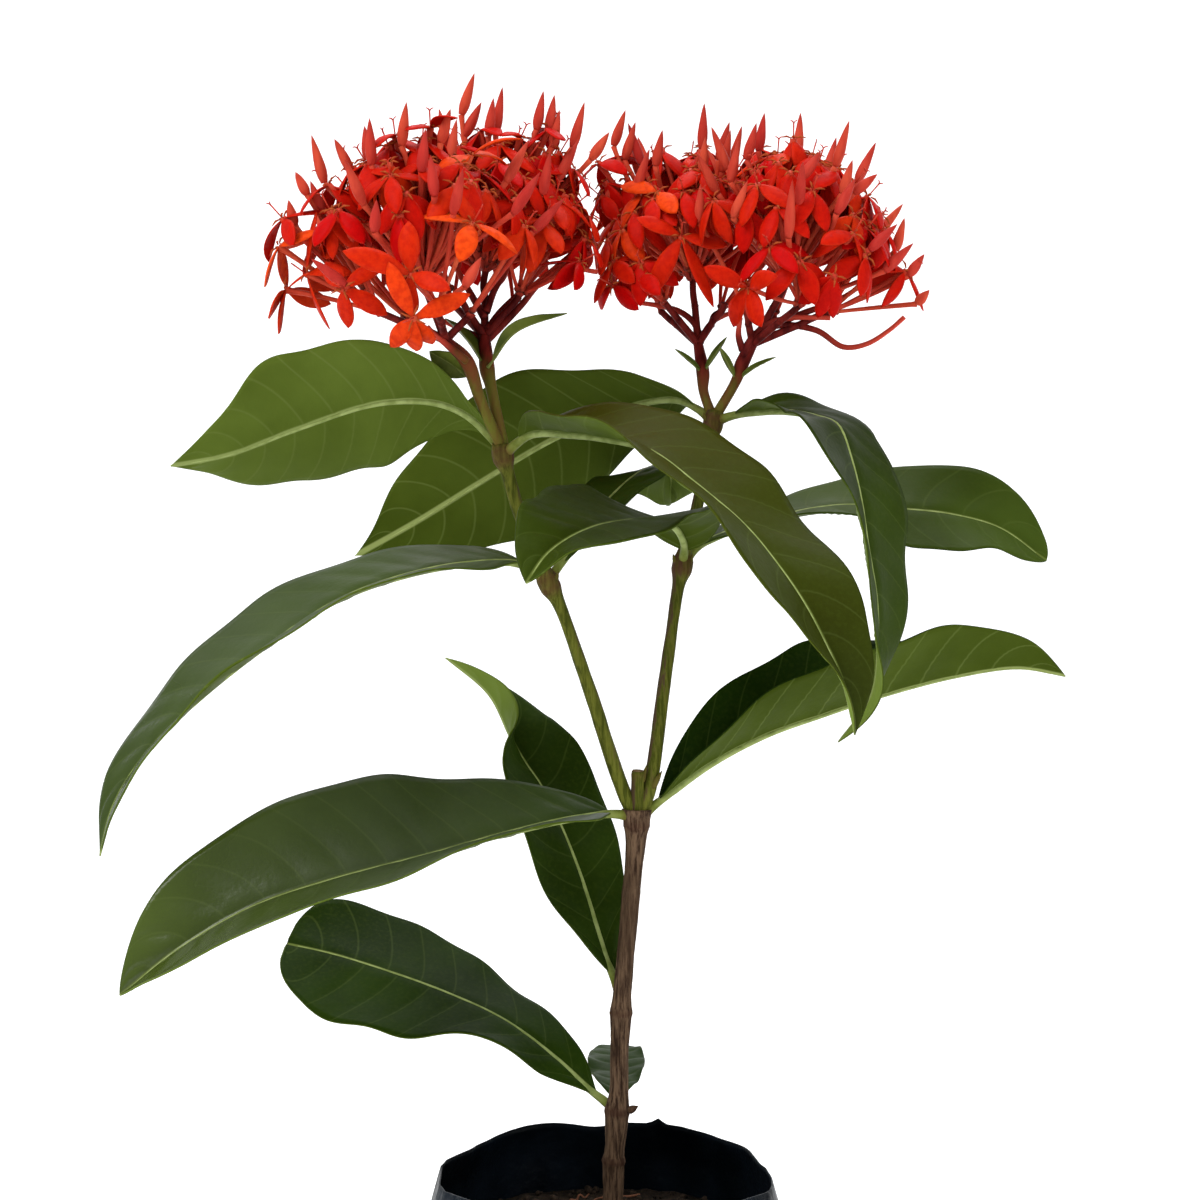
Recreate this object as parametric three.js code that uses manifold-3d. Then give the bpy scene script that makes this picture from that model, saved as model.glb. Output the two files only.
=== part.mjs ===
// A young red ixora in a black film nursery bag: bag, potting mix, woody stem, two branches, leaves,
// bracts, flower-head stalks and flower clusters. Millimetres, +Z up. The origin is the middle of the
// bag's flat base, and the plant's front faces -Y.
import * as THREE from "three";
import Module from "manifold-3d";

const wasm = await Module();
wasm.setup();

// ---- driving dimensions ----------------------------------------------------------------------------

const GAP = 0.3; // clearance between two pieces that touch on the real plant
const SLIVER = 0.02; // details smaller than this are left out of a cut piece
const CRUMB = 2; // cubic millimetres of loose offcuts that a piece may lose where it meets its neighbours

const BAG = {
  height: 124.5,
  baseRadius: 44,
  heelRadius: 47,
  footRadius: 49,
  bodyRadius: 50,
  shoulderRadius: 48.3,
  mouthRadius: 46,
  film: 0.9,
  heelHeight: 1.5,
  footHeight: 6,
  bodyHeight: 60,
  shoulderHeight: 115,
  rimWave: 0.8,
  rimWaves: 2,
  rimTurn: -Math.PI / 2, // the rim is highest at front and back
  sides: 32,
};

const SOIL = { topAtWall: 105, topAtStem: 107, crownRadius: 18, footInset: 1 };

const STEM_SIDES = 10;
const TWIG_SIDES = 7;
const UPRIGHT = 0.9; // a tube whose direction rises at least this steeply counts as upright
const LEAST_LEAN = 0.1; // a flower's axis counts as upright when the sine of its lean is below this

const LEAF = { rows: 10, stalkRadius: 1.2, midribThickness: 1.1, marginThickness: 0.5 };
const BRACT = { rows: 5, stalkRadius: 0.5, midribThickness: 0.7, marginThickness: 0.5 };
const BLADE_REACHES = [-1, -0.5, 0, 0.5, 1]; // a blade section's points, from left margin to right margin
const ROW_CROWDING = 0.6; // 0 spaces a blade's rows evenly, 1 crowds them towards both ends
const STALK_FLATTENS = 0.15; // share of the blade over which the round stalk turns into a flat blade

const FLORET = {
  petals: 4,
  sides: 4,
  tubeRadius: 0.8,
  throatRadius: 1.0,
  petalReach: 11.5,
  notchReach: 4.0,
  petalDroop: 2.5,
  petalThickness: 0.7,
};

// An unopened floret's radius at shares of its length.
const BUD_SHAPE = [[0, 0.8], [0.55, 0.8], [0.72, 1.6], [0.86, 1.45], [1, 0.3]];

const CYME_STALK_RADIUS = 1.25;
const BRANCH_TIP_RADIUS = 1.1;

// The layout is set out from the front. A place is given as x and z on the upright plane through the
// stem, as a viewer at EYE sees it there, and as its depth behind that plane.
const EYE = new THREE.Vector3(-1.5, -520, 281.6);

const seen = (x, z, depth = 0) => EYE.clone().lerp(new THREE.Vector3(x, 0, z), (depth - EYE.y) / -EYE.y);

// ---- materials -------------------------------------------------------------------------------------

const material = (color, roughness) => new THREE.MeshStandardMaterial({ color, roughness, metalness: 0 });

const MATERIALS = {
  film: material(0x14161a, 0.35),
  soil: material(0x2a1d15, 0.95),
  bark: material(0x5f4637, 0.85),
  greenStem: material(0x66702d, 0.55),
  leaf: material(0x2f4d17, 0.35),
  bract: material(0x4c6a2a, 0.5),
  peduncle: material(0x5c2328, 0.5),
  flower: material(0xd8301a, 0.45),
};

// ---- plant layout ----------------------------------------------------------------------------------

// Stem rows: x, z, depth, radius.
const MAIN_STEM = [
  [0.8, 82, 0, 2.6],
  [1.6, 107, 0, 2.9],
  [2.7, 132, 0, 2.75],
  [3.2, 141, 0, 3.4],
  [3.9, 158, 0, 2.6],
  [4.6, 173, 0, 2.9],
  [6.9, 199, 0, 2.6],
  [8.4, 217, 0, 2.8],
  [8.6, 223, 0, 4.3],
];

const LEFT_BRANCH = [
  [8.0, 223, 0, 2.0],
  [5.1, 228.5, -0.5, 2.0],
  [-4.4, 257, -3.5, 1.85],
  [-15.7, 286.3, -7, 2.7],
  [-24.2, 307.2, -10, 1.8],
  [-28.2, 321.5, -12, 2.7],
  [-28.4, 324.5, -12.3, 2.2],
];

const RIGHT_BRANCH = [
  [9.6, 223, 0, 2.0],
  [12.1, 230, 0.5, 2.0],
  [16.1, 258, 4, 1.8],
  [21.2, 291.2, 8, 2.7],
  [24.8, 305.5, 10.5, 1.7],
  [29.6, 330, 14, 2.7],
  [30.2, 333.5, 14.3, 2.2],
];

// The shoot between the two branches was pruned to a short stub.
const PRUNED_STUB = [
  [8.6, 222, -0.5, 2.0],
  [8.9, 234.5, -1.5, 1.7],
];

// Leaf spine rows: x, z, depth, then how many degrees the left and right halves rise from level.
// Left and right are as seen from above, looking from the stalk to the tip.
const LEAVES = {
  leaf_upper_left: {
    width: 44, stalk: 0.04, shape: [1.3, 1.15],
    spine: [
      [-28.2, 322.5, -12, 20, -75], [-36, 331.5, -13, 22, -72], [-45.5, 336, -15, 34, -64],
      [-62, 336, -19, 52, -56], [-85, 328.6, -23, 62, -44], [-103, 321.8, -26, 56, -37],
      [-119.6, 318.5, -28, 50, -36],
    ],
  },
  leaf_arching: {
    width: 43, stalk: 0.05, shape: [0.8, 0.9],
    spine: [
      [-28, 321.5, -12, 40, 30], [-20.5, 327.5, -20, 40, 28], [-9.6, 327.5, -34, 36, 24],
      [1.4, 326, -46, 24, 20], [12.4, 323, -56, 18, 18], [26, 313, -66, 14, 17],
      [38.8, 302, -74, 2, 20], [47.5, 291.5, -79, 12, 16], [54.7, 281, -82, 26, 12],
      [60, 271, -84, 34, 16], [65, 260, -84, 36, 32], [68.6, 244.5, -79, 38, 40],
    ],
  },
  leaf_behind: {
    width: 46, stalk: 0.05, shape: [1.2, 1.2],
    spine: [
      [29.6, 330.5, 14, 30, -10], [25.3, 334.4, 18, 32, -14], [20.6, 337, 22, 34, -22],
      [12.4, 336.6, 28, 38, -32], [1.4, 333.2, 33, 46, -40], [-15, 325.6, 36, 61, -52],
      [-34.4, 314, 36, 73, -66], [-52.3, 303, 35, 76, -74], [-69, 293.7, 34, 76, -76],
    ],
  },
  leaf_drooping: {
    width: 40, stalk: 0.05, shape: [0.8, 0.9],
    spine: [
      [29.8, 330.5, 14, 20, 15], [37, 333, 10, 28, 15], [44, 334, 5, 30, 12], [51, 333.8, -1, 15, 5],
      [59, 332.2, -7, 5, 0], [64, 330, -12, -12, 5], [67.6, 321, -17, -12, 20],
      [70.5, 309, -20, -8, 36], [72.3, 297, -22, -12, 40], [74.8, 281.5, -23, -16, 38],
      [75, 270, -22, -20, 42], [73.2, 255.5, -21, -32, 62], [64, 242.5, -19, -34, 60],
    ],
  },
  leaf_left_long: {
    width: 40, stalk: 0.05, shape: [0.9, 1.05],
    spine: [
      [-15.7, 286.5, -7, -12, 24], [-24.2, 292, -11, -10, 25], [-37, 292.2, -17, -8, 26],
      [-53.6, 289.2, -24, 0, 25], [-73, 282.2, -31, 5, 23], [-92, 270, -37, 9, 23],
      [-111.6, 254.4, -41, 10, 27], [-126.2, 240, -43, 6, 27], [-135.6, 225, -44, -4, 26],
      [-139, 211.2, -44, -6, 26],
    ],
  },
  leaf_front: {
    width: 42, stalk: 0.06, shape: [0.75, 0.85],
    spine: [
      [21.2, 291, 8, 0, 0], [21.6, 297, 2, -16, 10], [19, 302, -8, -8, 30],
      [12.4, 303.9, -22, -3, 38], [4, 303.5, -36, -13, 40], [-4, 301.7, -50, -19, 40],
      [-11.5, 298, -60, -16, 46], [-17, 293.4, -67, -12, 50], [-21.8, 286.2, -72, -5, 50],
    ],
  },
  leaf_back_right: {
    width: 42, stalk: 0.05, shape: [0.9, 0.65],
    spine: [
      [21.3, 291.5, 8, -12, 4], [26, 297, 12, -10, 5], [34.4, 301, 18, -6, 4], [45.4, 304.2, 26, -3, 2],
      [56.4, 306.9, 34, 2, -4], [67.4, 308, 40, 14, -16], [81, 306.9, 44, 35, -33],
      [95, 305.4, 46, 49, -35], [108.8, 301.4, 46, 57, -28], [121.3, 292.4, 44, 60, -26],
    ],
  },
  leaf_back_short: {
    width: 26, stalk: 0.05, shape: [0.9, 0.7],
    spine: [
      [-15.6, 287, -7, 20, -20], [-7, 299.6, 0, 20, -12], [1, 309.8, 12, 18, -6],
      [9.6, 317.2, 28, 8, -6], [15.6, 319, 42, -30, -10], [17.6, 316.5, 58, -60, -30],
      [17.4, 312, 68, -80, -40], [16.6, 308, 74, -80, -40],
    ],
  },
  leaf_lower_left: {
    width: 52, stalk: 0.05, shape: [0.8, 0.82],
    spine: [
      [8, 222, 0, 0, 36], [0, 223, -4, 2, 36], [-9.6, 222, -10, 5, 38], [-26.7, 218, -18, 10, 42],
      [-48, 212, -26, 10, 48], [-75.6, 204.8, -33, 1, 55], [-97.4, 197.3, -38, 1, 63],
      [-118, 185.4, -41, -3, 68], [-133.6, 172.9, -42, -6, 68],
    ],
  },
  leaf_right_folded: {
    width: 46, stalk: 0.05, shape: [0.95, 0.85],
    spine: [
      [9.5, 221.5, 0, 60, 34], [17.3, 228.6, 2, 62, 36], [29, 237, 5, 68, 39],
      [44.3, 244.8, 9, 70, 42], [60, 250.2, 13, 60, 43], [77.5, 255.8, 17, 42, 46],
      [96.8, 260.6, 19, 28, 54], [113.8, 262.8, 19, 26, 62], [126.5, 260.6, 17, 30, 66],
    ],
  },
  leaf_behind_stem: {
    width: 34, stalk: 0.04, shape: [1.05, 1],
    spine: [
      [3.9, 173.5, 0, -16, 18], [-0.6, 186.7, 6, -15, 16], [-6.6, 205.7, 14, -4, 11],
      [-12.3, 220, 22, 12, 10], [-17.6, 230.6, 28, 20, 16], [-22, 237, 32, 34, 26],
      [-26, 243.8, 35, 60, 22], [-32, 255.5, 37, 84, -14], [-44, 265.7, 36, 98, -36],
    ],
  },
  leaf_lowest: {
    width: 49, stalk: 0.06, shape: [1, 0.37],
    spine: [
      [3, 141, 0, -45, 55], [-2.5, 145.8, 2, -40, 50], [-13.3, 155.8, 7, -20, 32],
      [-27.8, 166.4, 12, -7, 13], [-44, 174, 17, -22, 13], [-60, 179.8, 21, -27, 20],
      [-75, 184.4, 24, -25, 28], [-87.6, 187.2, 25, -22, 34],
    ],
  },
  leaf_small_back: {
    width: 17, stalk: 0.1, shape: [0.7, 0.45],
    spine: [
      [3, 141.5, 0, 0, 0], [3.2, 147.4, 12, 0, 0], [3, 152.6, 30, 0, 0], [3, 157.4, 48, 0, 0],
      [3.1, 159, 62, 0, 0],
    ],
  },
};

const BRACTS = {
  bract_left_outer: {
    width: 8,
    spine: [[-37, 342.4, -17, 20, -60], [-43, 347, -20, 20, -60], [-48.4, 350, -22, 20, -60]],
  },
  bract_left_upper: {
    width: 8,
    spine: [[-33, 346, -11, 20, 20], [-38, 353, -9, 20, 20], [-44, 359, -7, 20, 20]],
  },
  bract_left_inner: {
    width: 5.5,
    spine: [[-32.4, 345.5, -12, 60, 60], [-25, 355, -16, 50, 50], [-10.5, 360.5, -20, 15, 15]],
  },
  bract_right_outer: {
    width: 2.5,
    spine: [[26.8, 344, 18, 20, 20], [23, 347.5, 14, 20, 20], [19.2, 350.6, 12, 20, 20]],
  },
  bract_right_mid: {
    width: 2.5,
    spine: [[26.8, 344, 18, 20, 20], [30, 349, 14, 20, 20], [33.3, 353.9, 12, 20, 20]],
  },
  bract_right_inner: {
    width: 2.5,
    spine: [[36, 342.1, 13, 20, 20], [33.5, 347, 9, 20, 20], [31.4, 351.2, 6, 20, 20]],
  },
  bract_right_far: {
    width: 3,
    spine: [[36.4, 342.5, 13, 20, 20], [41, 345.5, 9, 20, 20], [46.8, 348.4, 6, 20, 20]],
  },
};

// Flower heads: the stalk's rows (x, z, depth, radius) up to where it branches, then the head's middle.
const HEADS = {
  left_front: {
    stalk: [
      [-28.4, 323, -12.3, 1.5], [-34.4, 336.6, -17, 1.5], [-38.2, 347.3, -22, 1.9],
      [-44, 353, -25, 1.4],
    ],
    middle: [-50, 360, -30],
    turn: 0.4,
  },
  left_back: {
    stalk: [
      [-28.2, 324, -12, 1.6], [-31.6, 340.7, -11, 1.6], [-32.5, 345, -10, 2.1],
      [-33.3, 354, -6, 1.6],
    ],
    middle: [-33, 364, 2],
    turn: 0.92,
  },
  right_back: {
    stalk: [[29.8, 331, 14.2, 1.5], [27, 339, 17, 1.4], [26.8, 344, 18, 1.9], [25.5, 352, 20, 1.4]],
    middle: [24, 362, 24],
    turn: 0.8,
  },
  right_front: {
    stalk: [[30.2, 332, 14, 1.5], [36, 342.1, 13, 1.5], [37.5, 346.5, 12, 2.0], [40.5, 352, 9, 1.4]],
    middle: [50, 361, 4],
    turn: 0.2,
  },
};

// Each head carries five cymes: four around its middle and one on top.
const CYMES_AROUND = 4;
const CYME_SPREAD = 12;
const CYME_RISE = 8;
const BRANCH_SHARE = 0.6; // how far towards a cyme's hub the stalk's branch reaches
const HEAD_REACH = 31; // level distance from a head's middle to its outermost flower throats
const HEAD_HEIGHT = 45; // and up to its highest ones
const BUD_REACH = 1.24; // buds stand this much further out than flower throats
// Florets of a cyme in the ring: tilt from upright and turn from the cyme's own, in radians.
const RING_FLORETS = [
  { tilt: 0.62, turn: -0.45, open: true },
  { tilt: 0.95, turn: 0.45, open: false },
  { tilt: 1.35, turn: 0, open: true },
];
const TOP_FLORETS = [
  { tilt: 0.3, turn: 0.8, open: true },
  { tilt: 0.3, turn: 2.9, open: true },
  { tilt: 0.2, turn: 5, open: false },
];

// ---- solids ----------------------------------------------------------------------------------------

const mean = (points) =>
  points.reduce((sum, point) => sum.add(point), new THREE.Vector3()).divideScalar(points.length);

/**
 * Closed solid through rings of equally many points, with the first and last ring capped. From the side
 * numbered mirroredFrom on, the quads are split along their other diagonal, so that the two faces of a
 * thin twisted blade run parallel.
 */
function loft(rings, mirroredFrom = Infinity) {
  const count = rings[0].length;
  const points = rings.flat();
  const first = points.length;
  points.push(mean(rings[0]), mean(rings.at(-1)));
  const faces = [];
  for (let ring = 0; ring + 1 < rings.length; ring++) {
    for (let side = 0; side < count; side++) {
      const next = (side + 1) % count;
      const a = ring * count + side;
      const b = ring * count + next;
      if (side < mirroredFrom) {
        faces.push([a, b, b + count], [a, b + count, a + count]);
      } else {
        faces.push([a, b, a + count], [b, b + count, a + count]);
      }
    }
  }
  const last = (rings.length - 1) * count;
  for (let side = 0; side < count; side++) {
    const next = (side + 1) % count;
    faces.push([first, next, side], [first + 1, last + side, last + next]);
  }
  const outward = signedVolume(points, faces) > 0;
  return new wasm.Manifold(new wasm.Mesh({
    numProp: 3,
    vertProperties: Float32Array.from(points.flatMap((point) => point.toArray())),
    triVerts: Uint32Array.from(faces.flatMap(([a, b, c]) => (outward ? [a, b, c] : [a, c, b]))),
  }));
}

function signedVolume(points, faces) {
  let volume = 0;
  for (const [a, b, c] of faces) {
    volume += points[a].dot(points[b].clone().cross(points[c]));
  }
  return volume / 6;
}

const join = (solids) => solids.reduce((whole, solid) => whole.add(solid));

/** The solid without what lies within GAP of its neighbours, and the volume of the offcuts left out. */
function seat(solid, grownNeighbours) {
  const cut = grownNeighbours.reduce((rest, neighbour) => rest.subtract(neighbour), solid);
  const bodies = cut.decompose();
  const largest = bodies.reduce((best, body) => (body.volume() > best.volume() ? body : best));
  const total = bodies.reduce((sum, body) => sum + body.volume(), 0);
  return { kept: largest.simplify(SLIVER), lost: total - largest.volume() };
}

const smoothCurve = (points) => new THREE.CatmullRomCurve3(points, false, "centripetal");

/** Value of a row's column at a fraction of the curve's length. */
function rowValue(rows, curve, along, column) {
  const place = curve.getUtoTmapping(along) * (rows.length - 1);
  const row = Math.min(Math.floor(place), rows.length - 2);
  return THREE.MathUtils.lerp(rows[row][column], rows[row + 1][column], place - row);
}

/** Tangent, upper normal and right-hand direction at each fraction, turned as little as possible. */
function framesAlong(curve, fractions) {
  let normal = new THREE.Vector3(0, 0, 1);
  return fractions.map((along) => {
    const centre = curve.getPointAt(along);
    const tangent = curve.getTangentAt(along);
    normal = normal.clone().addScaledVector(tangent, -normal.dot(tangent)).normalize();
    return { centre, tangent, normal, right: tangent.clone().cross(normal) };
  });
}

/** Round tube with a ring of each radius at each point, with grow added to its radii and ends. */
function tube(points, radii, sides, grow) {
  const stretched = points.map((point) => point.clone());
  stretched[0].add(points[0].clone().sub(points[1]).setLength(grow));
  stretched.at(-1).add(points.at(-1).clone().sub(points.at(-2)).setLength(grow));
  const curve = smoothCurve(stretched);
  const isUpright = Math.abs(curve.getTangent(0).z) > UPRIGHT;
  let normal = isUpright ? new THREE.Vector3(0, 1, 0) : new THREE.Vector3(0, 0, 1);
  return loft(radii.map((radius, index) => {
    const place = index / (radii.length - 1);
    const tangent = curve.getTangent(place);
    normal = normal.clone().addScaledVector(tangent, -normal.dot(tangent)).normalize();
    return ringAround(stretched[index], normal, tangent.clone().cross(normal), radius + grow, sides);
  }));
}

function ringAround(centre, normal, right, radius, sides) {
  return Array.from({ length: sides }, (_, side) => {
    const angle = (side / sides) * 2 * Math.PI;
    return centre.clone()
      .addScaledVector(right, radius * Math.cos(angle))
      .addScaledVector(normal, radius * Math.sin(angle));
  });
}

const stemTube = (rows, sides, grow) =>
  tube(rows.map(([x, z, depth]) => seen(x, z, depth)), rows.map((row) => row[3]), sides, grow);

// ---- leaves and bracts -----------------------------------------------------------------------------

/** Half the blade's width at a fraction of its length: widest where shape's two powers balance. */
function halfWidth(width, [base, tip], along) {
  const widest = base / (base + tip);
  const inside = THREE.MathUtils.clamp(along, 0.001, 0.999);
  return (width / 2) * (inside / widest) ** base * ((1 - inside) / (1 - widest)) ** tip;
}

/** A leaf: round stalk that flattens into a thin blade, whose halves rise from the midrib. */
function blade({ width, stalk = 0.08, shape = [0.9, 0.9], spine }, form, grow) {
  const curve = smoothCurve(spine.map(([x, z, depth]) => seen(x, z, depth)));
  const fractions = [0, stalk / 2];
  for (let row = 0; row <= form.rows; row++) {
    const even = row / form.rows;
    const eased = THREE.MathUtils.lerp(even, (1 - Math.cos(Math.PI * even)) / 2, ROW_CROWDING);
    fractions.push(THREE.MathUtils.lerp(stalk, 1, eased));
  }
  const rings = framesAlong(curve, fractions).map((frame, index) => {
    const along = fractions[index];
    const bladeAlong = (along - stalk) / (1 - stalk);
    const narrowest = bladeAlong < 0.5 ? form.stalkRadius : form.marginThickness / 2;
    const half = bladeAlong > 0 ? Math.max(halfWidth(width, shape, bladeAlong), narrowest) : narrowest;
    const flatness = THREE.MathUtils.smoothstep(bladeAlong, 0, STALK_FLATTENS);
    const middle = THREE.MathUtils.lerp(form.stalkRadius, form.midribThickness / 2, flatness);
    const edge = THREE.MathUtils.lerp(form.stalkRadius / 2, form.marginThickness / 2, flatness);
    const rises = [rowValue(spine, curve, along, 3), rowValue(spine, curve, along, 4)];
    const bent = rises.map((rise) => rise * flatness);
    return bladeSection(frame, half + grow, bent, middle + grow, edge + grow);
  });
  return loft(rings, BLADE_REACHES.length);
}

/** Section of a blade: the upper side from left margin to right margin, then the underside back. */
function bladeSection({ centre, normal, right }, half, rises, middle, edge) {
  const upper = [];
  const lower = [];
  for (const reach of BLADE_REACHES) {
    const side = Math.sign(reach);
    const rise = THREE.MathUtils.degToRad(reach < 0 ? rises[0] : rises[1]) * Math.abs(side);
    const place = centre.clone()
      .addScaledVector(right, reach * half * Math.cos(rise))
      .addScaledVector(normal, Math.abs(reach) * half * Math.sin(rise));
    const out = normal.clone().multiplyScalar(Math.cos(rise)).addScaledVector(right, -side * Math.sin(rise));
    const thickness = THREE.MathUtils.lerp(middle, edge, Math.abs(reach));
    upper.push(place.clone().addScaledVector(out, thickness));
    lower.unshift(place.clone().addScaledVector(out, -thickness));
  }
  return [...upper, ...lower];
}

// ---- flower heads ----------------------------------------------------------------------------------

const direction = (tilt, turn) => new THREE.Vector3(
  Math.sin(tilt) * Math.cos(turn),
  Math.sin(tilt) * Math.sin(turn),
  Math.cos(tilt),
);

/** Where a flower throat of this head lies, for a tilt from upright and a turn around it. */
function throatPlace(middle, tilt, turn) {
  const reach = new THREE.Vector3(HEAD_REACH, HEAD_REACH, HEAD_HEIGHT);
  return direction(tilt, turn).multiply(reach).add(middle);
}

/** The cymes of a head: each one's root on the stalk's branch, its hub and its florets. */
function cymesOf({ stalk, middle, turn }) {
  const fork = seen(...stalk.at(-1));
  const centre = seen(...middle);
  const cymes = [];
  const addCyme = (label, hub, florets) =>
    cymes.push({ label, hub, florets, root: fork.clone().lerp(hub, BRANCH_SHARE) });
  const flower = ({ tilt, turn: aside, open }, around) => {
    const throat = throatPlace(centre, tilt, around + aside);
    return { open, end: open ? throat : centre.clone().lerp(throat, BUD_REACH) };
  };
  for (let place = 0; place < CYMES_AROUND; place++) {
    const around = turn + (place / CYMES_AROUND) * 2 * Math.PI;
    const hub = direction(Math.PI / 2, around).multiplyScalar(CYME_SPREAD).add(centre);
    addCyme(place + 1, hub, RING_FLORETS.map((floret) => flower(floret, around)));
  }
  const topHub = centre.clone().add(new THREE.Vector3(0, 0, CYME_RISE));
  addCyme("top", topHub, TOP_FLORETS.map((floret) => flower(floret, turn)));
  return cymes;
}

/** Flower tube from the hub to the throat, ending in a four-petalled star. */
function openFloret(hub, throat, grow) {
  const axis = throat.clone().sub(hub).normalize();
  const across = new THREE.Vector3(0, 0, 1).cross(axis);
  const right = across.length() > LEAST_LEAN ? across.normalize() : new THREE.Vector3(1, 0, 0);
  const normal = axis.clone().cross(right);
  const half = FLORET.petalThickness / 2 + grow;
  const corners = 2 * FLORET.petals;
  const outline = (lift) => Array.from({ length: corners }, (_, corner) => {
    const isTip = corner % 2 === 0;
    const reach = (isTip ? FLORET.petalReach : FLORET.notchReach) + grow;
    const angle = (corner / corners) * 2 * Math.PI;
    return throat.clone()
      .addScaledVector(axis, lift - (isTip ? FLORET.petalDroop : 0))
      .addScaledVector(right, reach * Math.cos(angle))
      .addScaledVector(normal, reach * Math.sin(angle));
  });
  const neck = tube([hub, throat], [FLORET.tubeRadius, FLORET.throatRadius], FLORET.sides, grow);
  return neck.add(loft([outline(-half), outline(half)]));
}

/** Unopened floret: a thin tube that ends in a spindle-shaped bud. */
function budFloret(hub, tip, grow) {
  const points = BUD_SHAPE.map(([share]) => hub.clone().lerp(tip, share));
  return tube(points, BUD_SHAPE.map(([, radius]) => radius), FLORET.sides, grow);
}

/** One cyme: its stalk from the head's branches to the hub, and its florets. */
function cymeSolid({ hub, florets, root }, grow) {
  const solids = florets.map(({ end, open }) => (open ? openFloret : budFloret)(hub, end, grow));
  solids.push(tube([root, hub], [CYME_STALK_RADIUS, CYME_STALK_RADIUS], TWIG_SIDES, grow));
  return join(solids);
}

/** A head's stalk with a branch to each of its cymes. */
function peduncleSolid({ stalk }, cymes, grow) {
  const [x, z, depth, radius] = stalk.at(-1);
  const fork = seen(x, z, depth);
  const branches = cymes.map(({ root }) => tube([fork, root], [radius, BRANCH_TIP_RADIUS], TWIG_SIDES, grow));
  return join([stemTube(stalk, TWIG_SIDES, grow), ...branches]);
}

// ---- bag and soil ----------------------------------------------------------------------------------

/** The bag's outer radius at a height: a rounded foot, a slack body and a slightly gathered mouth. */
const BAG_PROFILE = [
  [0, BAG.baseRadius],
  [BAG.heelHeight, BAG.heelRadius],
  [BAG.footHeight, BAG.footRadius],
  [BAG.bodyHeight, BAG.bodyRadius],
  [BAG.shoulderHeight, BAG.shoulderRadius],
  [BAG.height, BAG.mouthRadius],
];

function bagRadius(height) {
  const above = BAG_PROFILE.findIndex(([level]) => level >= height);
  if (above <= 0) {
    return BAG_PROFILE[0][1];
  }
  const [lowLevel, lowRadius] = BAG_PROFILE[above - 1];
  const [highLevel, highRadius] = BAG_PROFILE[above];
  return THREE.MathUtils.mapLinear(height, lowLevel, highLevel, lowRadius, highRadius);
}

/** Level ring around the bag's axis; at the mouth's height it rises and falls with the slack rim. */
const levelRing = (height, radius) => Array.from({ length: BAG.sides }, (_, side) => {
  const angle = (side / BAG.sides) * 2 * Math.PI;
  const lift = height === BAG.height ? BAG.rimWave * Math.sin(BAG.rimWaves * angle + BAG.rimTurn) : 0;
  return new THREE.Vector3(radius * Math.cos(angle), radius * Math.sin(angle), height + lift);
});

/** Open bag of even film: up the outside, over the wavy rim and down the inside. */
function bagSolid() {
  const outside = BAG_PROFILE.map(([level, radius]) => levelRing(level, radius));
  const inside = BAG_PROFILE.slice(2).reverse().map(([level, radius]) => levelRing(level, radius - BAG.film));
  const floor = levelRing(BAG.film, BAG.baseRadius - BAG.film);
  return loft([...outside, ...inside, floor]);
}

/** Potting mix: fills the bag to below its mouth, a little higher at the stem. */
function soilSolid() {
  const clear = BAG.film + GAP;
  const levels = [BAG.footHeight, BAG.bodyHeight, SOIL.topAtWall];
  const walls = levels.map((level) => levelRing(level, bagRadius(level) - clear));
  const bottom = levelRing(clear, BAG.baseRadius - clear - SOIL.footInset);
  const top = levelRing(SOIL.topAtStem, SOIL.crownRadius);
  return loft([bottom, ...walls, top]);
}

// ---- assembly --------------------------------------------------------------------------------------

const plant = new THREE.Group();
plant.name = "ixora";

const grownPieces = []; // each piece so far, grown by GAP
const tornPieces = []; // pieces that their neighbours cut in two

/** Adds the piece that shape(grow) builds, cut clear of every earlier piece. */
function place(name, pieceMaterial, shape) {
  const { kept, lost } = seat(shape(0), grownPieces);
  if (lost > CRUMB) {
    tornPieces.push(`${name} loses ${lost.toFixed(1)}`);
  }
  const { vertProperties, triVerts } = kept.getMesh();
  const geometry = new THREE.BufferGeometry();
  geometry.setAttribute("position", new THREE.BufferAttribute(vertProperties, 3));
  geometry.setIndex(new THREE.BufferAttribute(triVerts, 1));
  geometry.computeVertexNormals();
  const mesh = new THREE.Mesh(geometry, pieceMaterial);
  mesh.name = name;
  plant.add(mesh);
  grownPieces.push(shape(GAP));
}

const mainStemSolid = (grow) =>
  stemTube(MAIN_STEM, STEM_SIDES, grow).add(stemTube(PRUNED_STUB, STEM_SIDES, grow));

place("main_stem", MATERIALS.bark, mainStemSolid);
place("soil", MATERIALS.soil, soilSolid);
place("grow_bag", MATERIALS.film, bagSolid);
place("left_branch", MATERIALS.greenStem, (grow) => stemTube(LEFT_BRANCH, STEM_SIDES, grow));
place("right_branch", MATERIALS.greenStem, (grow) => stemTube(RIGHT_BRANCH, STEM_SIDES, grow));

for (const [name, head] of Object.entries(HEADS)) {
  const cymes = cymesOf(head);
  place(`peduncle_${name}`, MATERIALS.peduncle, (grow) => peduncleSolid(head, cymes, grow));
  for (const cyme of cymes) {
    place(`cyme_${name}_${cyme.label}`, MATERIALS.flower, (grow) => cymeSolid(cyme, grow));
  }
}

for (const [name, leaf] of Object.entries(LEAVES)) {
  place(name, MATERIALS.leaf, (grow) => blade(leaf, LEAF, grow));
}

for (const [name, bract] of Object.entries(BRACTS)) {
  place(name, MATERIALS.bract, (grow) => blade(bract, BRACT, grow));
}

if (tornPieces.length > 0) {
  throw new Error(`Neighbours cut these pieces in two (cubic mm): ${tornPieces.join(", ")}`);
}

export default plant;
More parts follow.
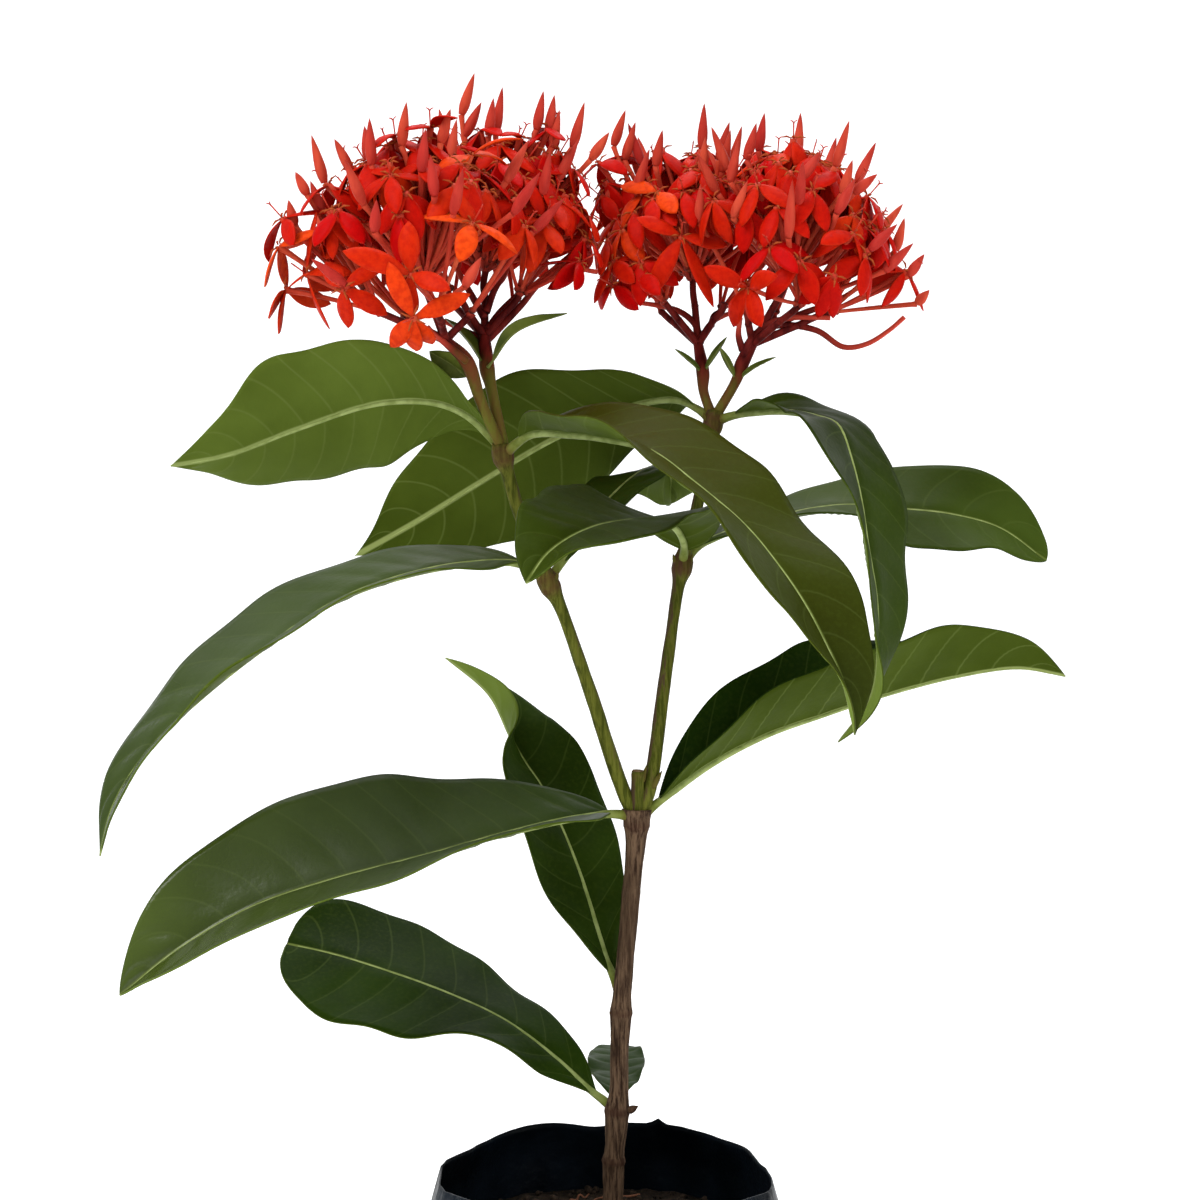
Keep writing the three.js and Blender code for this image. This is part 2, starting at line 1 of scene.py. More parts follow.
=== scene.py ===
"""A young red ixora in a black film nursery bag: its looks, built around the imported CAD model.

The layout tables are in millimetres, with the origin in the middle of the bag's base, +Z up and the plant's
front facing -Y. MM turns them into Blender's metres.
"""

import math

import bmesh
import bpy
import numpy as np
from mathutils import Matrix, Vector, noise


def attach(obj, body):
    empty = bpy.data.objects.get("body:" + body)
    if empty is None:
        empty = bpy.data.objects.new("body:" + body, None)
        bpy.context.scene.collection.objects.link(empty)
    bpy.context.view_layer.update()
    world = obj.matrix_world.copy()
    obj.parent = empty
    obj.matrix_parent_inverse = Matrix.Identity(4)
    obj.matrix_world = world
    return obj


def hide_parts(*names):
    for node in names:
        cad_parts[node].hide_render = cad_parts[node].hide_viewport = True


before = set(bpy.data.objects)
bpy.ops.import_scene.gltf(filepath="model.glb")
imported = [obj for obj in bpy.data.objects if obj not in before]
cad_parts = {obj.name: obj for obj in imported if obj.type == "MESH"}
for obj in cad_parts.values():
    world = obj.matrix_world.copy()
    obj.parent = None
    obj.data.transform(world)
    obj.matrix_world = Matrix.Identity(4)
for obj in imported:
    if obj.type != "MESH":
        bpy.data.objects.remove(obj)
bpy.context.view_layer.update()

MM = 0.001
TAU = 2 * math.pi
UP = np.array([0.0, 0.0, 1.0])
BACK = np.array([0.0, 1.0, 0.0])
SEED = 7

# ---- where things are --------------------------------------------------------------------------------

# A place is given as x and z on the upright plane through the stem, as a viewer at EYE sees it there, and as
# its depth behind that plane. A place that was read off the picture is a pixel instead of x and z.
EYE = np.array([-1.5, -520.0, 281.6])
PIXEL = 0.275  # millimetres of that plane in one pixel
PIXEL_ORIGIN = (605, 1624)  # pixel of x = 0, z = 0
FRAME_WIDTH = 330.0
SENSOR_WIDTH = 36.0


def seen(x, z, depth):
    """The place that EYE sees at x, z and that far behind the plane."""
    return EYE + (np.array([x, 0.0, z]) - EYE) * (depth - EYE[1]) / -EYE[1]


def seen_pixel(column, row, depth=0.0):
    return seen((column - PIXEL_ORIGIN[0]) * PIXEL, (PIXEL_ORIGIN[1] - row) * PIXEL, depth)


# How each leaf is coloured. tone, of the upper side, and under, of the lower side, run from 0, dark, to 1,
# light; rust is how brown the upper side is. Two numbers are the values at the stalk and at the tip.
LEAF_COLOURS = {
    "leaf_upper_left": dict(tone=0.6, under=0.3),
    # Painted light: leaf_arching's under rises to 1 at the tip, a painted glow of light shining through the
    # blade.
    "leaf_arching": dict(tone=0.12, under=(0.1, 1), rust=(0.9, 0.3)),
    "leaf_behind": dict(tone=0.33, under=0.07),
    # Painted light: leaf_drooping's under rises to 1 at the tip, a painted glow of light shining through the
    # blade.
    "leaf_drooping": dict(tone=0.14, under=(0.15, 1), rust=0.1),
    "leaf_left_long": dict(tone=0.28, under=0.19),
    "leaf_front": dict(tone=0.22, under=0.05, rust=0.15),
    "leaf_back_right": dict(tone=0.36, under=0.1),
    "leaf_back_short": dict(tone=0.2, under=0.15),
    # Painted highlight: leaf_lower_left's tone rises to 0.6 towards the tip, a painted glossy highlight
    # there.
    "leaf_lower_left": dict(tone=(0.08, 0.6), under=0.14),
    "leaf_right_folded": dict(tone=0, under=0.03),
    "leaf_behind_stem": dict(tone=0.1, under=(0.05, 0.6)),
    "leaf_lowest": dict(tone=0.06, under=0.1),
    "leaf_small_back": dict(tone=0.05, under=0),
}

# stalk is the bare share of a leaf's length, and STALK where a row gives none. shape holds the powers that
# taper the blade's base and tip. Spine rows: x, z, depth, then how many degrees the left and right halves
# rise from level. Left and right are as seen from above, looking from the stalk to the tip.
STALK = 0.05
LEAVES = {
    "leaf_upper_left": dict(width=44, stalk=0.04, shape=(1.3, 1.15), veins=11, spine=[
        (-28.2, 322.5, -12, 20, -75), (-36, 331.5, -13, 22, -72), (-45.5, 336, -15, 34, -64),
        (-62, 336, -19, 52, -56), (-85, 328.6, -23, 62, -44), (-103, 321.8, -26, 56, -37),
        (-119.6, 318.5, -28, 50, -36),
    ]),
    "leaf_arching": dict(width=43, shape=(0.8, 0.9), veins=13, spine=[
        (-28, 321.5, -12, 40, 30), (-20.5, 327.5, -20, 40, 28), (-9.6, 327.5, -34, 36, 24),
        (1.4, 326, -46, 24, 20), (12.4, 323, -56, 18, 18), (26, 313, -66, 14, 17),
        (38.8, 302, -74, 2, 20), (47.5, 291.5, -79, 12, 16), (54.7, 281, -82, 26, 12),
        (60, 271, -84, 34, 16), (65, 260, -84, 36, 32), (68.6, 244.5, -79, 38, 40),
    ]),
    "leaf_behind": dict(width=46, shape=(1.2, 1.2), veins=12, spine=[
        (29.6, 330.5, 14, 30, -10), (25.3, 334.4, 18, 32, -14), (20.6, 337, 22, 34, -22),
        (12.4, 336.6, 28, 38, -32), (1.4, 333.2, 33, 46, -40), (-15, 325.6, 36, 61, -52),
        (-34.4, 314, 36, 73, -66), (-52.3, 303, 35, 76, -74), (-69, 293.7, 34, 76, -76),
    ]),
    "leaf_drooping": dict(width=40, shape=(0.8, 0.9), veins=13, spine=[
        (29.8, 330.5, 14, 20, 15), (37, 333, 10, 28, 15), (44, 334, 5, 30, 12), (51, 333.8, -1, 15, 5),
        (59, 332.2, -7, 5, 0), (64, 330, -12, -12, 5), (67.6, 321, -17, -12, 20),
        (70.5, 309, -20, -8, 36), (72.3, 297, -22, -12, 40), (74.8, 281.5, -23, -16, 38),
        (75, 270, -22, -20, 42), (73.2, 255.5, -21, -32, 62), (64, 242.5, -19, -34, 60),
    ]),
    "leaf_left_long": dict(width=40, shape=(0.9, 1.05), veins=14, spine=[
        (-15.7, 286.5, -7, -12, 24), (-24.2, 292, -11, -10, 25), (-37, 292.2, -17, -8, 26),
        (-53.6, 289.2, -24, 0, 25), (-73, 282.2, -31, 5, 23), (-92, 270, -37, 9, 23),
        (-111.6, 254.4, -41, 10, 27), (-126.2, 240, -43, 6, 27), (-135.6, 225, -44, -4, 26),
        (-139, 211.2, -44, -6, 26),
    ]),
    "leaf_front": dict(width=42, stalk=0.06, shape=(0.75, 0.85), veins=10, spine=[
        (21.2, 291, 8, 0, 0), (21.6, 297, 2, -16, 10), (19, 302, -8, -8, 30),
        (12.4, 303.9, -22, -3, 38), (4, 303.5, -36, -13, 40), (-4, 301.7, -50, -19, 40),
        (-11.5, 298, -60, -16, 46), (-17, 293.4, -67, -12, 50), (-21.8, 286.2, -72, -5, 50),
    ]),
    "leaf_back_right": dict(width=42, shape=(0.9, 0.65), veins=10, spine=[
        (21.3, 291.5, 8, -12, 4), (26, 297, 12, -10, 5), (34.4, 301, 18, -6, 4), (45.4, 304.2, 26, -3, 2),
        (56.4, 306.9, 34, 2, -4), (67.4, 308, 40, 14, -16), (81, 306.9, 44, 35, -33),
        (95, 305.4, 46, 49, -35), (108.8, 301.4, 46, 57, -28), (121.3, 292.4, 44, 60, -26),
    ]),
    "leaf_back_short": dict(width=26, shape=(0.9, 0.7), veins=9, spine=[
        (-15.6, 287, -7, 20, -20), (-7, 299.6, 0, 20, -12), (1, 309.8, 12, 18, -6),
        (9.6, 317.2, 28, 8, -6), (15.6, 319, 42, -30, -10), (17.6, 316.5, 58, -60, -30),
        (17.4, 312, 68, -80, -40), (16.6, 308, 74, -80, -40),
    ]),
    "leaf_lower_left": dict(width=52, shape=(0.8, 0.82), veins=13, spine=[
        (8, 222, 0, 0, 36), (0, 223, -4, 2, 36), (-9.6, 222, -10, 5, 38), (-26.7, 218, -18, 10, 42),
        (-48, 212, -26, 10, 48), (-75.6, 204.8, -33, 1, 55), (-97.4, 197.3, -38, 1, 63),
        (-118, 185.4, -41, -3, 68), (-133.6, 172.9, -42, -6, 68),
    ]),
    "leaf_right_folded": dict(width=46, shape=(0.95, 0.85), veins=12, spine=[
        (9.5, 221.5, 0, 60, 34), (17.3, 228.6, 2, 62, 36), (29, 237, 5, 68, 39),
        (44.3, 244.8, 9, 70, 42), (60, 250.2, 13, 60, 43), (77.5, 255.8, 17, 42, 46),
        (96.8, 260.6, 19, 28, 54), (113.8, 262.8, 19, 26, 62), (126.5, 260.6, 17, 30, 66),
    ]),
    "leaf_behind_stem": dict(width=34, stalk=0.04, shape=(1.05, 1), veins=11, spine=[
        (3.9, 173.5, 0, -16, 18), (-0.6, 186.7, 6, -15, 16), (-6.6, 205.7, 14, -4, 11),
        (-12.3, 220, 22, 12, 10), (-17.6, 230.6, 28, 20, 16), (-22, 237, 32, 34, 26),
        (-26, 243.8, 35, 60, 22), (-32, 255.5, 37, 84, -14), (-44, 265.7, 36, 98, -36),
    ]),
    "leaf_lowest": dict(width=49, stalk=0.06, shape=(1, 0.37), veins=10, spine=[
        (3, 141, 0, -45, 55), (-2.5, 145.8, 2, -40, 50), (-13.3, 155.8, 7, -20, 32),
        (-27.8, 166.4, 12, -7, 13), (-44, 174, 17, -22, 13), (-60, 179.8, 21, -27, 20),
        (-75, 184.4, 24, -25, 28), (-87.6, 187.2, 25, -22, 34),
    ]),
    "leaf_small_back": dict(width=17, stalk=0.1, shape=(0.7, 0.45), veins=7, spine=[
        (3, 141.5, 0, 0, 0), (3.2, 147.4, 12, 0, 0), (3, 152.6, 30, 0, 0), (3, 157.4, 48, 0, 0),
        (3.1, 159, 62, 0, 0),
    ]),
}

# What the bracts share, and then each one's width and spine rows.
BRACT = dict(stalk=0.08, shape=(0.9, 0.9), veins=6, rib=0.4, tone=0.5, under=0.5)
BRACTS = {
    "bract_left_outer": dict(width=8, spine=[
        (-37, 342.4, -17, 20, -60), (-43, 347, -20, 20, -60), (-48.4, 350, -22, 20, -60),
    ]),
    "bract_left_upper": dict(width=8, spine=[
        (-33, 346, -11, 20, 20), (-38, 353, -9, 20, 20), (-44, 359, -7, 20, 20),
    ]),
    "bract_left_inner": dict(width=5.5, spine=[
        (-32.4, 345.5, -12, 60, 60), (-25, 355, -16, 50, 50), (-10.5, 360.5, -20, 15, 15),
    ]),
    "bract_right_outer": dict(width=2.5, spine=[
        (26.8, 344, 18, 20, 20), (23, 347.5, 14, 20, 20), (19.2, 350.6, 12, 20, 20),
    ]),
    "bract_right_mid": dict(width=2.5, spine=[
        (26.8, 344, 18, 20, 20), (30, 349, 14, 20, 20), (33.3, 353.9, 12, 20, 20),
    ]),
    "bract_right_inner": dict(width=2.5, spine=[
        (36, 342.1, 13, 20, 20), (33.5, 347, 9, 20, 20), (31.4, 351.2, 6, 20, 20),
    ]),
    "bract_right_far": dict(width=3, spine=[
        (36.4, 342.5, 13, 20, 20), (41, 345.5, 9, 20, 20), (46.8, 348.4, 6, 20, 20),
    ]),
}

# Stem rows: x, z, depth, radius.
MAIN_STEM = [
    (0.8, 82, 0, 2.6), (1.6, 107, 0, 2.9), (2.1, 118, 0, 2.75), (2.3, 127, 0, 3.0), (2.7, 132, 0, 2.7),
    (3.2, 141, 0, 3.3), (3.7, 147, 0, 2.6), (3.9, 158, 0, 2.55), (4.3, 168, 0, 2.95), (4.6, 173, 0, 2.6),
    (5.0, 178, 0, 2.5), (6.9, 199, 0, 2.5), (8.2, 213, 0, 2.6), (8.5, 219, 0, 3.3), (8.6, 224, 0, 4.2),
]
LEFT_BRANCH = [
    (8.0, 223, 0, 2.0), (5.1, 228.5, -0.5, 2.0), (-4.4, 257, -3.5, 1.85), (-12.8, 280.5, -6.4, 1.8),
    (-15.7, 286.3, -7, 2.7), (-17.6, 291, -7.7, 1.9), (-24.2, 307.2, -10, 1.8), (-27, 317, -11.4, 1.9),
    (-28.2, 321.5, -12, 2.7), (-28.4, 324.5, -12.3, 2.2),
]
RIGHT_BRANCH = [
    (9.6, 223, 0, 2.0), (12.1, 230, 0.5, 2.0), (16.1, 258, 4, 1.8), (20, 285, 7.4, 1.8),
    (21.2, 291.2, 8, 2.7), (22, 296, 8.6, 1.8), (24.8, 305.5, 10.5, 1.7), (28.6, 325.5, 13.4, 1.8),
    (29.6, 330, 14, 2.7), (30.2, 333.5, 14.3, 2.2),
]
PRUNED_STUB = [(8.6, 222, -0.5, 2.0), (8.8, 229, -1.0, 1.75), (8.9, 234.5, -1.5, 1.7)]

# Scar rings: height, how far the ring stands out and how wide it is.
TRUNK_RINGS = [(127.6, 0.4, 0.8), (141.3, 0.35, 1.3), (168.3, 0.3, 0.9), (219.5, 0.3, 1.2)]
STUB_RINGS = [(233.5, 0.15, 0.8)]

# Small buds on the stem: pixel and depth of the foot and of the tip, then the radius and the material slot.
BARK, GREEN, CUT = range(3)
STEM_BUDS = [
    ((641, 783, -1.2), (646, 765, -2.0), 0.8, GREEN),
    ((652, 788, -0.8), (662, 770, -1.6), 0.9, GREEN),
    ((628, 1111, -1.5), (638, 1106, -3.0), 1.1, BARK),
]

# Flower heads: the stalk's rows up to where it branches, then the head's middle.
HEADS = {
    "left_front": dict(turn=0.4, middle=(-50, 360, -30), stalk=[
        (-28.4, 323, -12.3, 1.5), (-34.4, 336.6, -17, 1.5), (-38.2, 347.3, -22, 1.9), (-44, 353, -25, 1.4),
    ]),
    "left_back": dict(turn=0.92, middle=(-33, 364, 2), stalk=[
        (-28.2, 324, -12, 1.6), (-31.6, 340.7, -11, 1.6), (-32.5, 345, -10, 2.1), (-33.3, 354, -6, 1.6),
    ]),
    "right_back": dict(turn=0.8, middle=(24, 362, 24), stalk=[
        (29.8, 331, 14.2, 1.5), (27, 339, 17, 1.4), (26.8, 344, 18, 1.9), (25.5, 352, 20, 1.4),
    ]),
    "right_front": dict(turn=0.2, middle=(50, 361, 4), stalk=[
        (30.2, 332, 14, 1.5), (36, 342.1, 13, 1.5), (37.5, 346.5, 12, 2.0), (40.5, 352, 9, 1.4),
    ]),
}
CYMES_AROUND = 4
CYME_SPREAD = 12
CYME_RISE = 8
BRANCH_SHARE = 0.6  # how much of the way from the fork to a cyme's hub belongs to the stalk
HEAD_REACH = np.array([31.0, 31.0, 45.0])
FLORETS_PER_HEAD = 78

# The florets that fill a head.
WIDEST_TILT = 1.12  # radians from upright
TRIES = 10  # places tried for each of them, of which the emptiest is taken
DOME_DEPTHS = (0.93, 1.06)
CLEARANCE = 0.82  # how far it stays from the other heads, as a share of their reach
BUD_SHARE = 0.2
BUD_TONES = (0, 0.6)

# Open flowers that show: the throat's pixel, those of the petal tips that are clear, and how orange it is.
FLOWERS = [
    ((388, 146), [], 0.05), ((424, 140), [], 0.1), ((458, 146), [], 0.0), ((500, 144), [], 0.15),
    ((528, 158), [], 0.05), ((546, 178), [], 0.1), ((352, 166), [], 0.1), ((572, 190), [], 0.0),
    ((600, 196), [], 0.1), ((626, 178), [], 0.05), ((560, 152), [], 0.15), ((584, 238), [], 0.0),
    ((612, 262), [], 0.15), ((640, 262), [], 0.05), ((770, 246), [], 0.0), ((800, 262), [], 0.1),
    ((834, 276), [], 0.05), ((866, 256), [], 0.1), ((884, 228), [], 0.05), ((776, 206), [], 0.1),
    ((746, 208), [], 0.05), ((690, 170), [], 0.1), ((756, 170), [], 0.0), ((790, 172), [], 0.1),
    ((413, 318), [(388, 262), (470, 294), (390, 347), (416, 351), (432, 344)], 0.65),
    ((410, 274), [(342, 251), (408, 221), (450, 290)], 0.3),
    ((306, 274), [(316, 212), (329, 329), (352, 274)], 0.3),
    ((278, 246), [(308, 241), (287, 287), (264, 287)], 0.95),
    ((285, 290), [(278, 334), (268, 318)], 0.4),
    ((472, 223), [(421, 217), (459, 262), (517, 254)], 1.0),
    ((544, 221), [(495, 230), (528, 274), (561, 254)], 0.35),
    ((589, 216), [(569, 262), (556, 224)], 0.2),
    ((470, 155), [(438, 172), (505, 165), (521, 139)], 0.8),
    ((498, 162), [(495, 213), (521, 188)], 0.0),
    ((390, 175), [(396, 214), (372, 168)], 0.15),
    ((328, 185), [(330, 209), (300, 214)], 0.1),
    ((282, 218), [(268, 262), (300, 240)], 0.1),
    ((343, 288), [(348, 328), (325, 262)], 0.25),
    ((748, 287), [(703, 267), (777, 276), (733, 327), (761, 327)], 0.2),
    ((681, 236), [(648, 299), (713, 307), (727, 246), (636, 218)], 0.2),
    ((657, 192), [(620, 186), (676, 213)], 0.9),
    ((853, 233), [(811, 259), (820, 244)], 0.15),
    ((621, 230), [(642, 193), (643, 264)], 0.6),
    ((906, 271), [(881, 307), (923, 311)], 0.1),
    ((812, 190), [(836, 172), (796, 226), (826, 232)], 0.1),
    ((868, 196), [(862, 236), (880, 230)], 0.05),
    ((598, 163), [(573, 192), (614, 198)], 0.05),
    ((720, 180), [(668, 200), (768, 192)], 0.1),
    ((633, 212), [(669, 254), (640, 250)], 0.1),
    ((652, 199), [(655, 232), (676, 226)], 0.1),
    ((661, 150), [(650, 178), (684, 186)], 0.1),
    ((700, 168), [(678, 190), (712, 196)], 0.15),
    ((575, 205), [(566, 236), (590, 240)], 0.1),
    ((606, 240), [(600, 276), (618, 278)], 0.2),
    ((580, 262), [(552, 288), (574, 290)], 0.0),
    ((612, 285), [(638, 310), (600, 309)], 0.0),
    ((640, 275), [(660, 295), (632, 300)], 0.05),
    ((575, 170), [(566, 204), (588, 196)], 0.05),
    ((604, 182), [(598, 214), (622, 212)], 0.05),
    ((588, 240), [(580, 272), (600, 268)], 0.1),
    ((395, 137), [(376, 147), (398, 172)], 0.1),
    ((430, 128), [(406, 130), (456, 118), (424, 160)], 0.05),
    ((480, 131), [(500, 136), (470, 158)], 0.05),
    ((520, 138), [(502, 136), (524, 186), (540, 165)], 0.1),
    ((548, 128), [(534, 140), (561, 140), (550, 152)], 0.0),
    ((366, 163), [(350, 178), (372, 196)], 0.1),
]

# Buds: the pixels of the tip and of where the bud joins its tube.
BUDS = [
    ((295, 172), (307, 195)), ((311, 135), (324, 183)), ((334, 139), (351, 172)), ((364, 126), (368, 160)),
    ((369, 118), (371, 165)), ((406, 102), (401, 146)), ((425, 129), (421, 172)), ((450, 109), (440, 143)),
    ((474, 73), (461, 115)), ((481, 102), (464, 137)), ((493, 98), (488, 136)), ((502, 87), (495, 134)),
    ((543, 91), (536, 130)), ((554, 95), (548, 132)), ((559, 110), (552, 148)), ((584, 102), (572, 148)),
    ((609, 132), (590, 160)), ((625, 110), (613, 146)), ((635, 122), (624, 160)), ((288, 200), (294, 226)),
    ((310, 181), (322, 214)), ((550, 151), (542, 195)), ((481, 257), (464, 287)), ((311, 259), (345, 285)),
    ((430, 155), (434, 196)), ((662, 130), (655, 166)), ((649, 149), (635, 192)), ((705, 137), (702, 172)),
    ((729, 122), (718, 160)), ((730, 130), (722, 172)), ((738, 141), (730, 182)), ((756, 123), (746, 160)),
    ((764, 113), (758, 151)), ((820, 152), (802, 178)), ((852, 160), (842, 194)), ((855, 178), (836, 214)),
    ((877, 174), (853, 193)), ((897, 224), (869, 250)), ((904, 218), (895, 251)), ((913, 243), (884, 271)),
    ((924, 254), (908, 276)), ((929, 290), (916, 304)), ((792, 180), (788, 238)), ((747, 181), (733, 218)),
    ((700, 184), (699, 223)), ((615, 179), (603, 210)), ((376, 200), (374, 232)),
]

# Side branches of the flower-head stalks that show below the flowers: pixels from the stalk outwards.
SIDE_TWIGS = {
    "left_front": [
        ((466, 361), (459, 355), (436, 336), (427, 327)),
    ],
    "left_back": [
        ((484, 340), (466, 332), (452, 325), (436, 318)),
        ((485, 342), (500, 327), (521, 305), (541, 282), (569, 269), (597, 272)),
        ((487, 330), (500, 312), (520, 292), (548, 262)),
        ((484, 318), (471, 295), (458, 272), (447, 250)),
        ((486, 312), (494, 290), (506, 270), (512, 246)),
    ],
    "right_back": [
        ((700, 344), (695, 325), (680, 312), (660, 306), (632, 302)),
        ((700, 340), (712, 322), (732, 312)),
    ],
    "right_front": [
        ((742, 356), (750, 340), (768, 324), (790, 318), (830, 318)),
        ((744, 352), (770, 327), (815, 330), (843, 347), (866, 344), (889, 330), (904, 317)),
        ((742, 350), (738, 335), (740, 318)),
        ((770, 326), (806, 312), (838, 300), (866, 282)),
    ],
}

# ---- building meshes ---------------------------------------------------------------------------------


class Shell:
    """One piece's vertices, faces and per-vertex numbers, gathered shape by shape in millimetres."""

    def __init__(self):
        self.points = []
        self.faces = []
        self.slots = []
        self.numbers = {}
        self.count = 0

    def loft(self, rings, slot=0, **numbers):
        """Closed solid through rings of points. slot is one number, or one per side of the rings."""
        rows, sides = rings.shape[:2]
        grid = self.count + np.arange(rows * sides).reshape(rows, sides)
        nexts = np.roll(grid, -1, axis=1)
        quads = np.stack([grid[:-1], nexts[:-1], nexts[1:], grid[1:]], axis=-1)
        self.faces += quads.reshape(-1, 4).tolist()
        first = self.count + rows * sides
        self.faces += [[first, b, a] for a, b in zip(grid[0].tolist(), nexts[0].tolist())]
        self.faces += [[first + 1, a, b] for a, b in zip(grid[-1].tolist(), nexts[-1].tolist())]
        of_side = np.broadcast_to(slot, sides).tolist()
        self.slots += of_side * (rows + 1)
        ends = np.stack([rings[0].mean(0), rings[-1].mean(0)])
        self.points.append(np.vstack([rings.reshape(-1, 3), ends]))
        for name, value in numbers.items():
            full = np.broadcast_to(as_column(value), (rows, sides))
            full = np.concatenate([full.ravel(), [full[0].mean(), full[-1].mean()]])
            self.numbers.setdefault(name, []).append((self.count, full))
        self.count = first + 2

    def tube(self, path, radii, sides, slot=0, **numbers):
        """Closed tube along a path. radii is one number per ring, or one per ring and side."""
        path = np.asarray(path, float)
        is_upright = abs(unit(path[1] - path[0])[2]) > 0.9
        normal, right = frames(path, BACK if is_upright else UP)
        angle = angles_round(sides)[None, :, None]
        spoke = np.cos(angle) * right[:, None] + np.sin(angle) * normal[:, None]
        self.loft(path[:, None] + as_column(radii)[..., None] * spoke, slot, **numbers)

    def piece(self, name, materials, slot, *nodes):
        """The Blender object, riding on the root body in place of the CAD nodes."""
        mesh = bpy.data.meshes.new(name)
        mesh.from_pydata((np.vstack(self.points) * MM).tolist(), [], self.faces)
        mesh.polygons.foreach_set("material_index", self.slots)
        for made in materials:
            mesh.materials.append(made)
        for key, parts in self.numbers.items():
            values = np.zeros(self.count, np.float32)
            for start, part in parts:
                values[start:start + len(part)] = part
            mesh.attributes.new(key, "FLOAT", "POINT").data.foreach_set("value", values)
        work = bmesh.new()
        work.from_mesh(mesh)
        bmesh.ops.recalc_face_normals(work, faces=work.faces)
        work.to_mesh(mesh)
        work.free()
        mesh.shade_smooth()
        made = bpy.data.objects.new(name, mesh)
        bpy.context.scene.collection.objects.link(made)
        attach(made, "root")
        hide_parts(*nodes)


def angles_round(count):
    """Angles spaced evenly round a circle."""
    return np.arange(count) / count * TAU


def as_column(values):
    """One number per ring as a column, which reaches every side. A number per ring and side stays."""
    values = np.asarray(values, float)
    return values[:, None] if values.ndim == 1 else values


def frames(path, up):
    """Normal and right-hand direction along a path. The normal starts near up and turns little."""
    tangent = np.gradient(path, axis=0)
    tangent /= np.linalg.norm(tangent, axis=1)[:, None]
    normals = []
    for along in tangent:
        up = unit(up - along * (up @ along))
        normals.append(up)
    normal = np.array(normals)
    return normal, np.cross(tangent, normal)


def smooth_rows(rows, count):
    """Rows whose first three columns are a point, spaced evenly along the centripetal curve through them."""
    rows = np.asarray(rows, float)
    rows = np.vstack([2 * rows[0] - rows[1], rows, 2 * rows[-1] - rows[-2]])
    steps = 14
    made = [rows[1]]
    for a, b, c, d in zip(rows, rows[1:], rows[2:], rows[3:]):
        knots = np.cumsum([0] + [math.dist(p[:3], q[:3]) ** 0.5 + 1e-6 for p, q in ((a, b), (b, c), (c, d))])
        for step in range(1, steps + 1):
            t = knots[1] + (knots[2] - knots[1]) * step / steps
            ab = a + (b - a) * (t - knots[0]) / (knots[1] - knots[0])
            bc = b + (c - b) * (t - knots[1]) / (knots[2] - knots[1])
            cd = c + (d - c) * (t - knots[2]) / (knots[3] - knots[2])
            abc = ab + (bc - ab) * (t - knots[0]) / (knots[2] - knots[0])
            bcd = bc + (cd - bc) * (t - knots[1]) / (knots[3] - knots[1])
            made.append(abc + (bcd - abc) * (t - knots[1]) / (knots[2] - knots[1]))
    made = np.array(made)
    length = np.concatenate([[0], np.cumsum(np.linalg.norm(np.diff(made[:, :3], axis=0), axis=1))])
    even = np.linspace(0, length[-1], count)
    return np.stack([np.interp(even, length, column) for column in made.T], axis=1)


def placed(rows):
    """Layout rows with x, z, depth turned into a point."""
    return [(*seen(*row[:3]), *row[3:]) for row in rows]


def unit(vector):
    return vector / np.linalg.norm(vector)


def lerp(a, b, share):
    return a + (b - a) * share


def smoothstep(low, high, value):
    share = np.clip((value - low) / (high - low), 0, 1)
    return share * share * (3 - 2 * share)


def sample(rows, share):
    """Rows at shares of the way through them."""
    place = share * (len(rows) - 1)
    return np.stack([np.interp(place, np.arange(len(rows)), column) for column in rows.T], axis=1)


def rough(points, scale, seed):
    """Noise from about -1 to 1 at each point, with bumps about scale millimetres across."""
    values = [noise.noise(Vector(point)) for point in points.reshape(-1, 3) / scale + seed]
    return np.array(values).reshape(points.shape[:-1])


# ---- materials ---------------------------------------------------------------------------------------


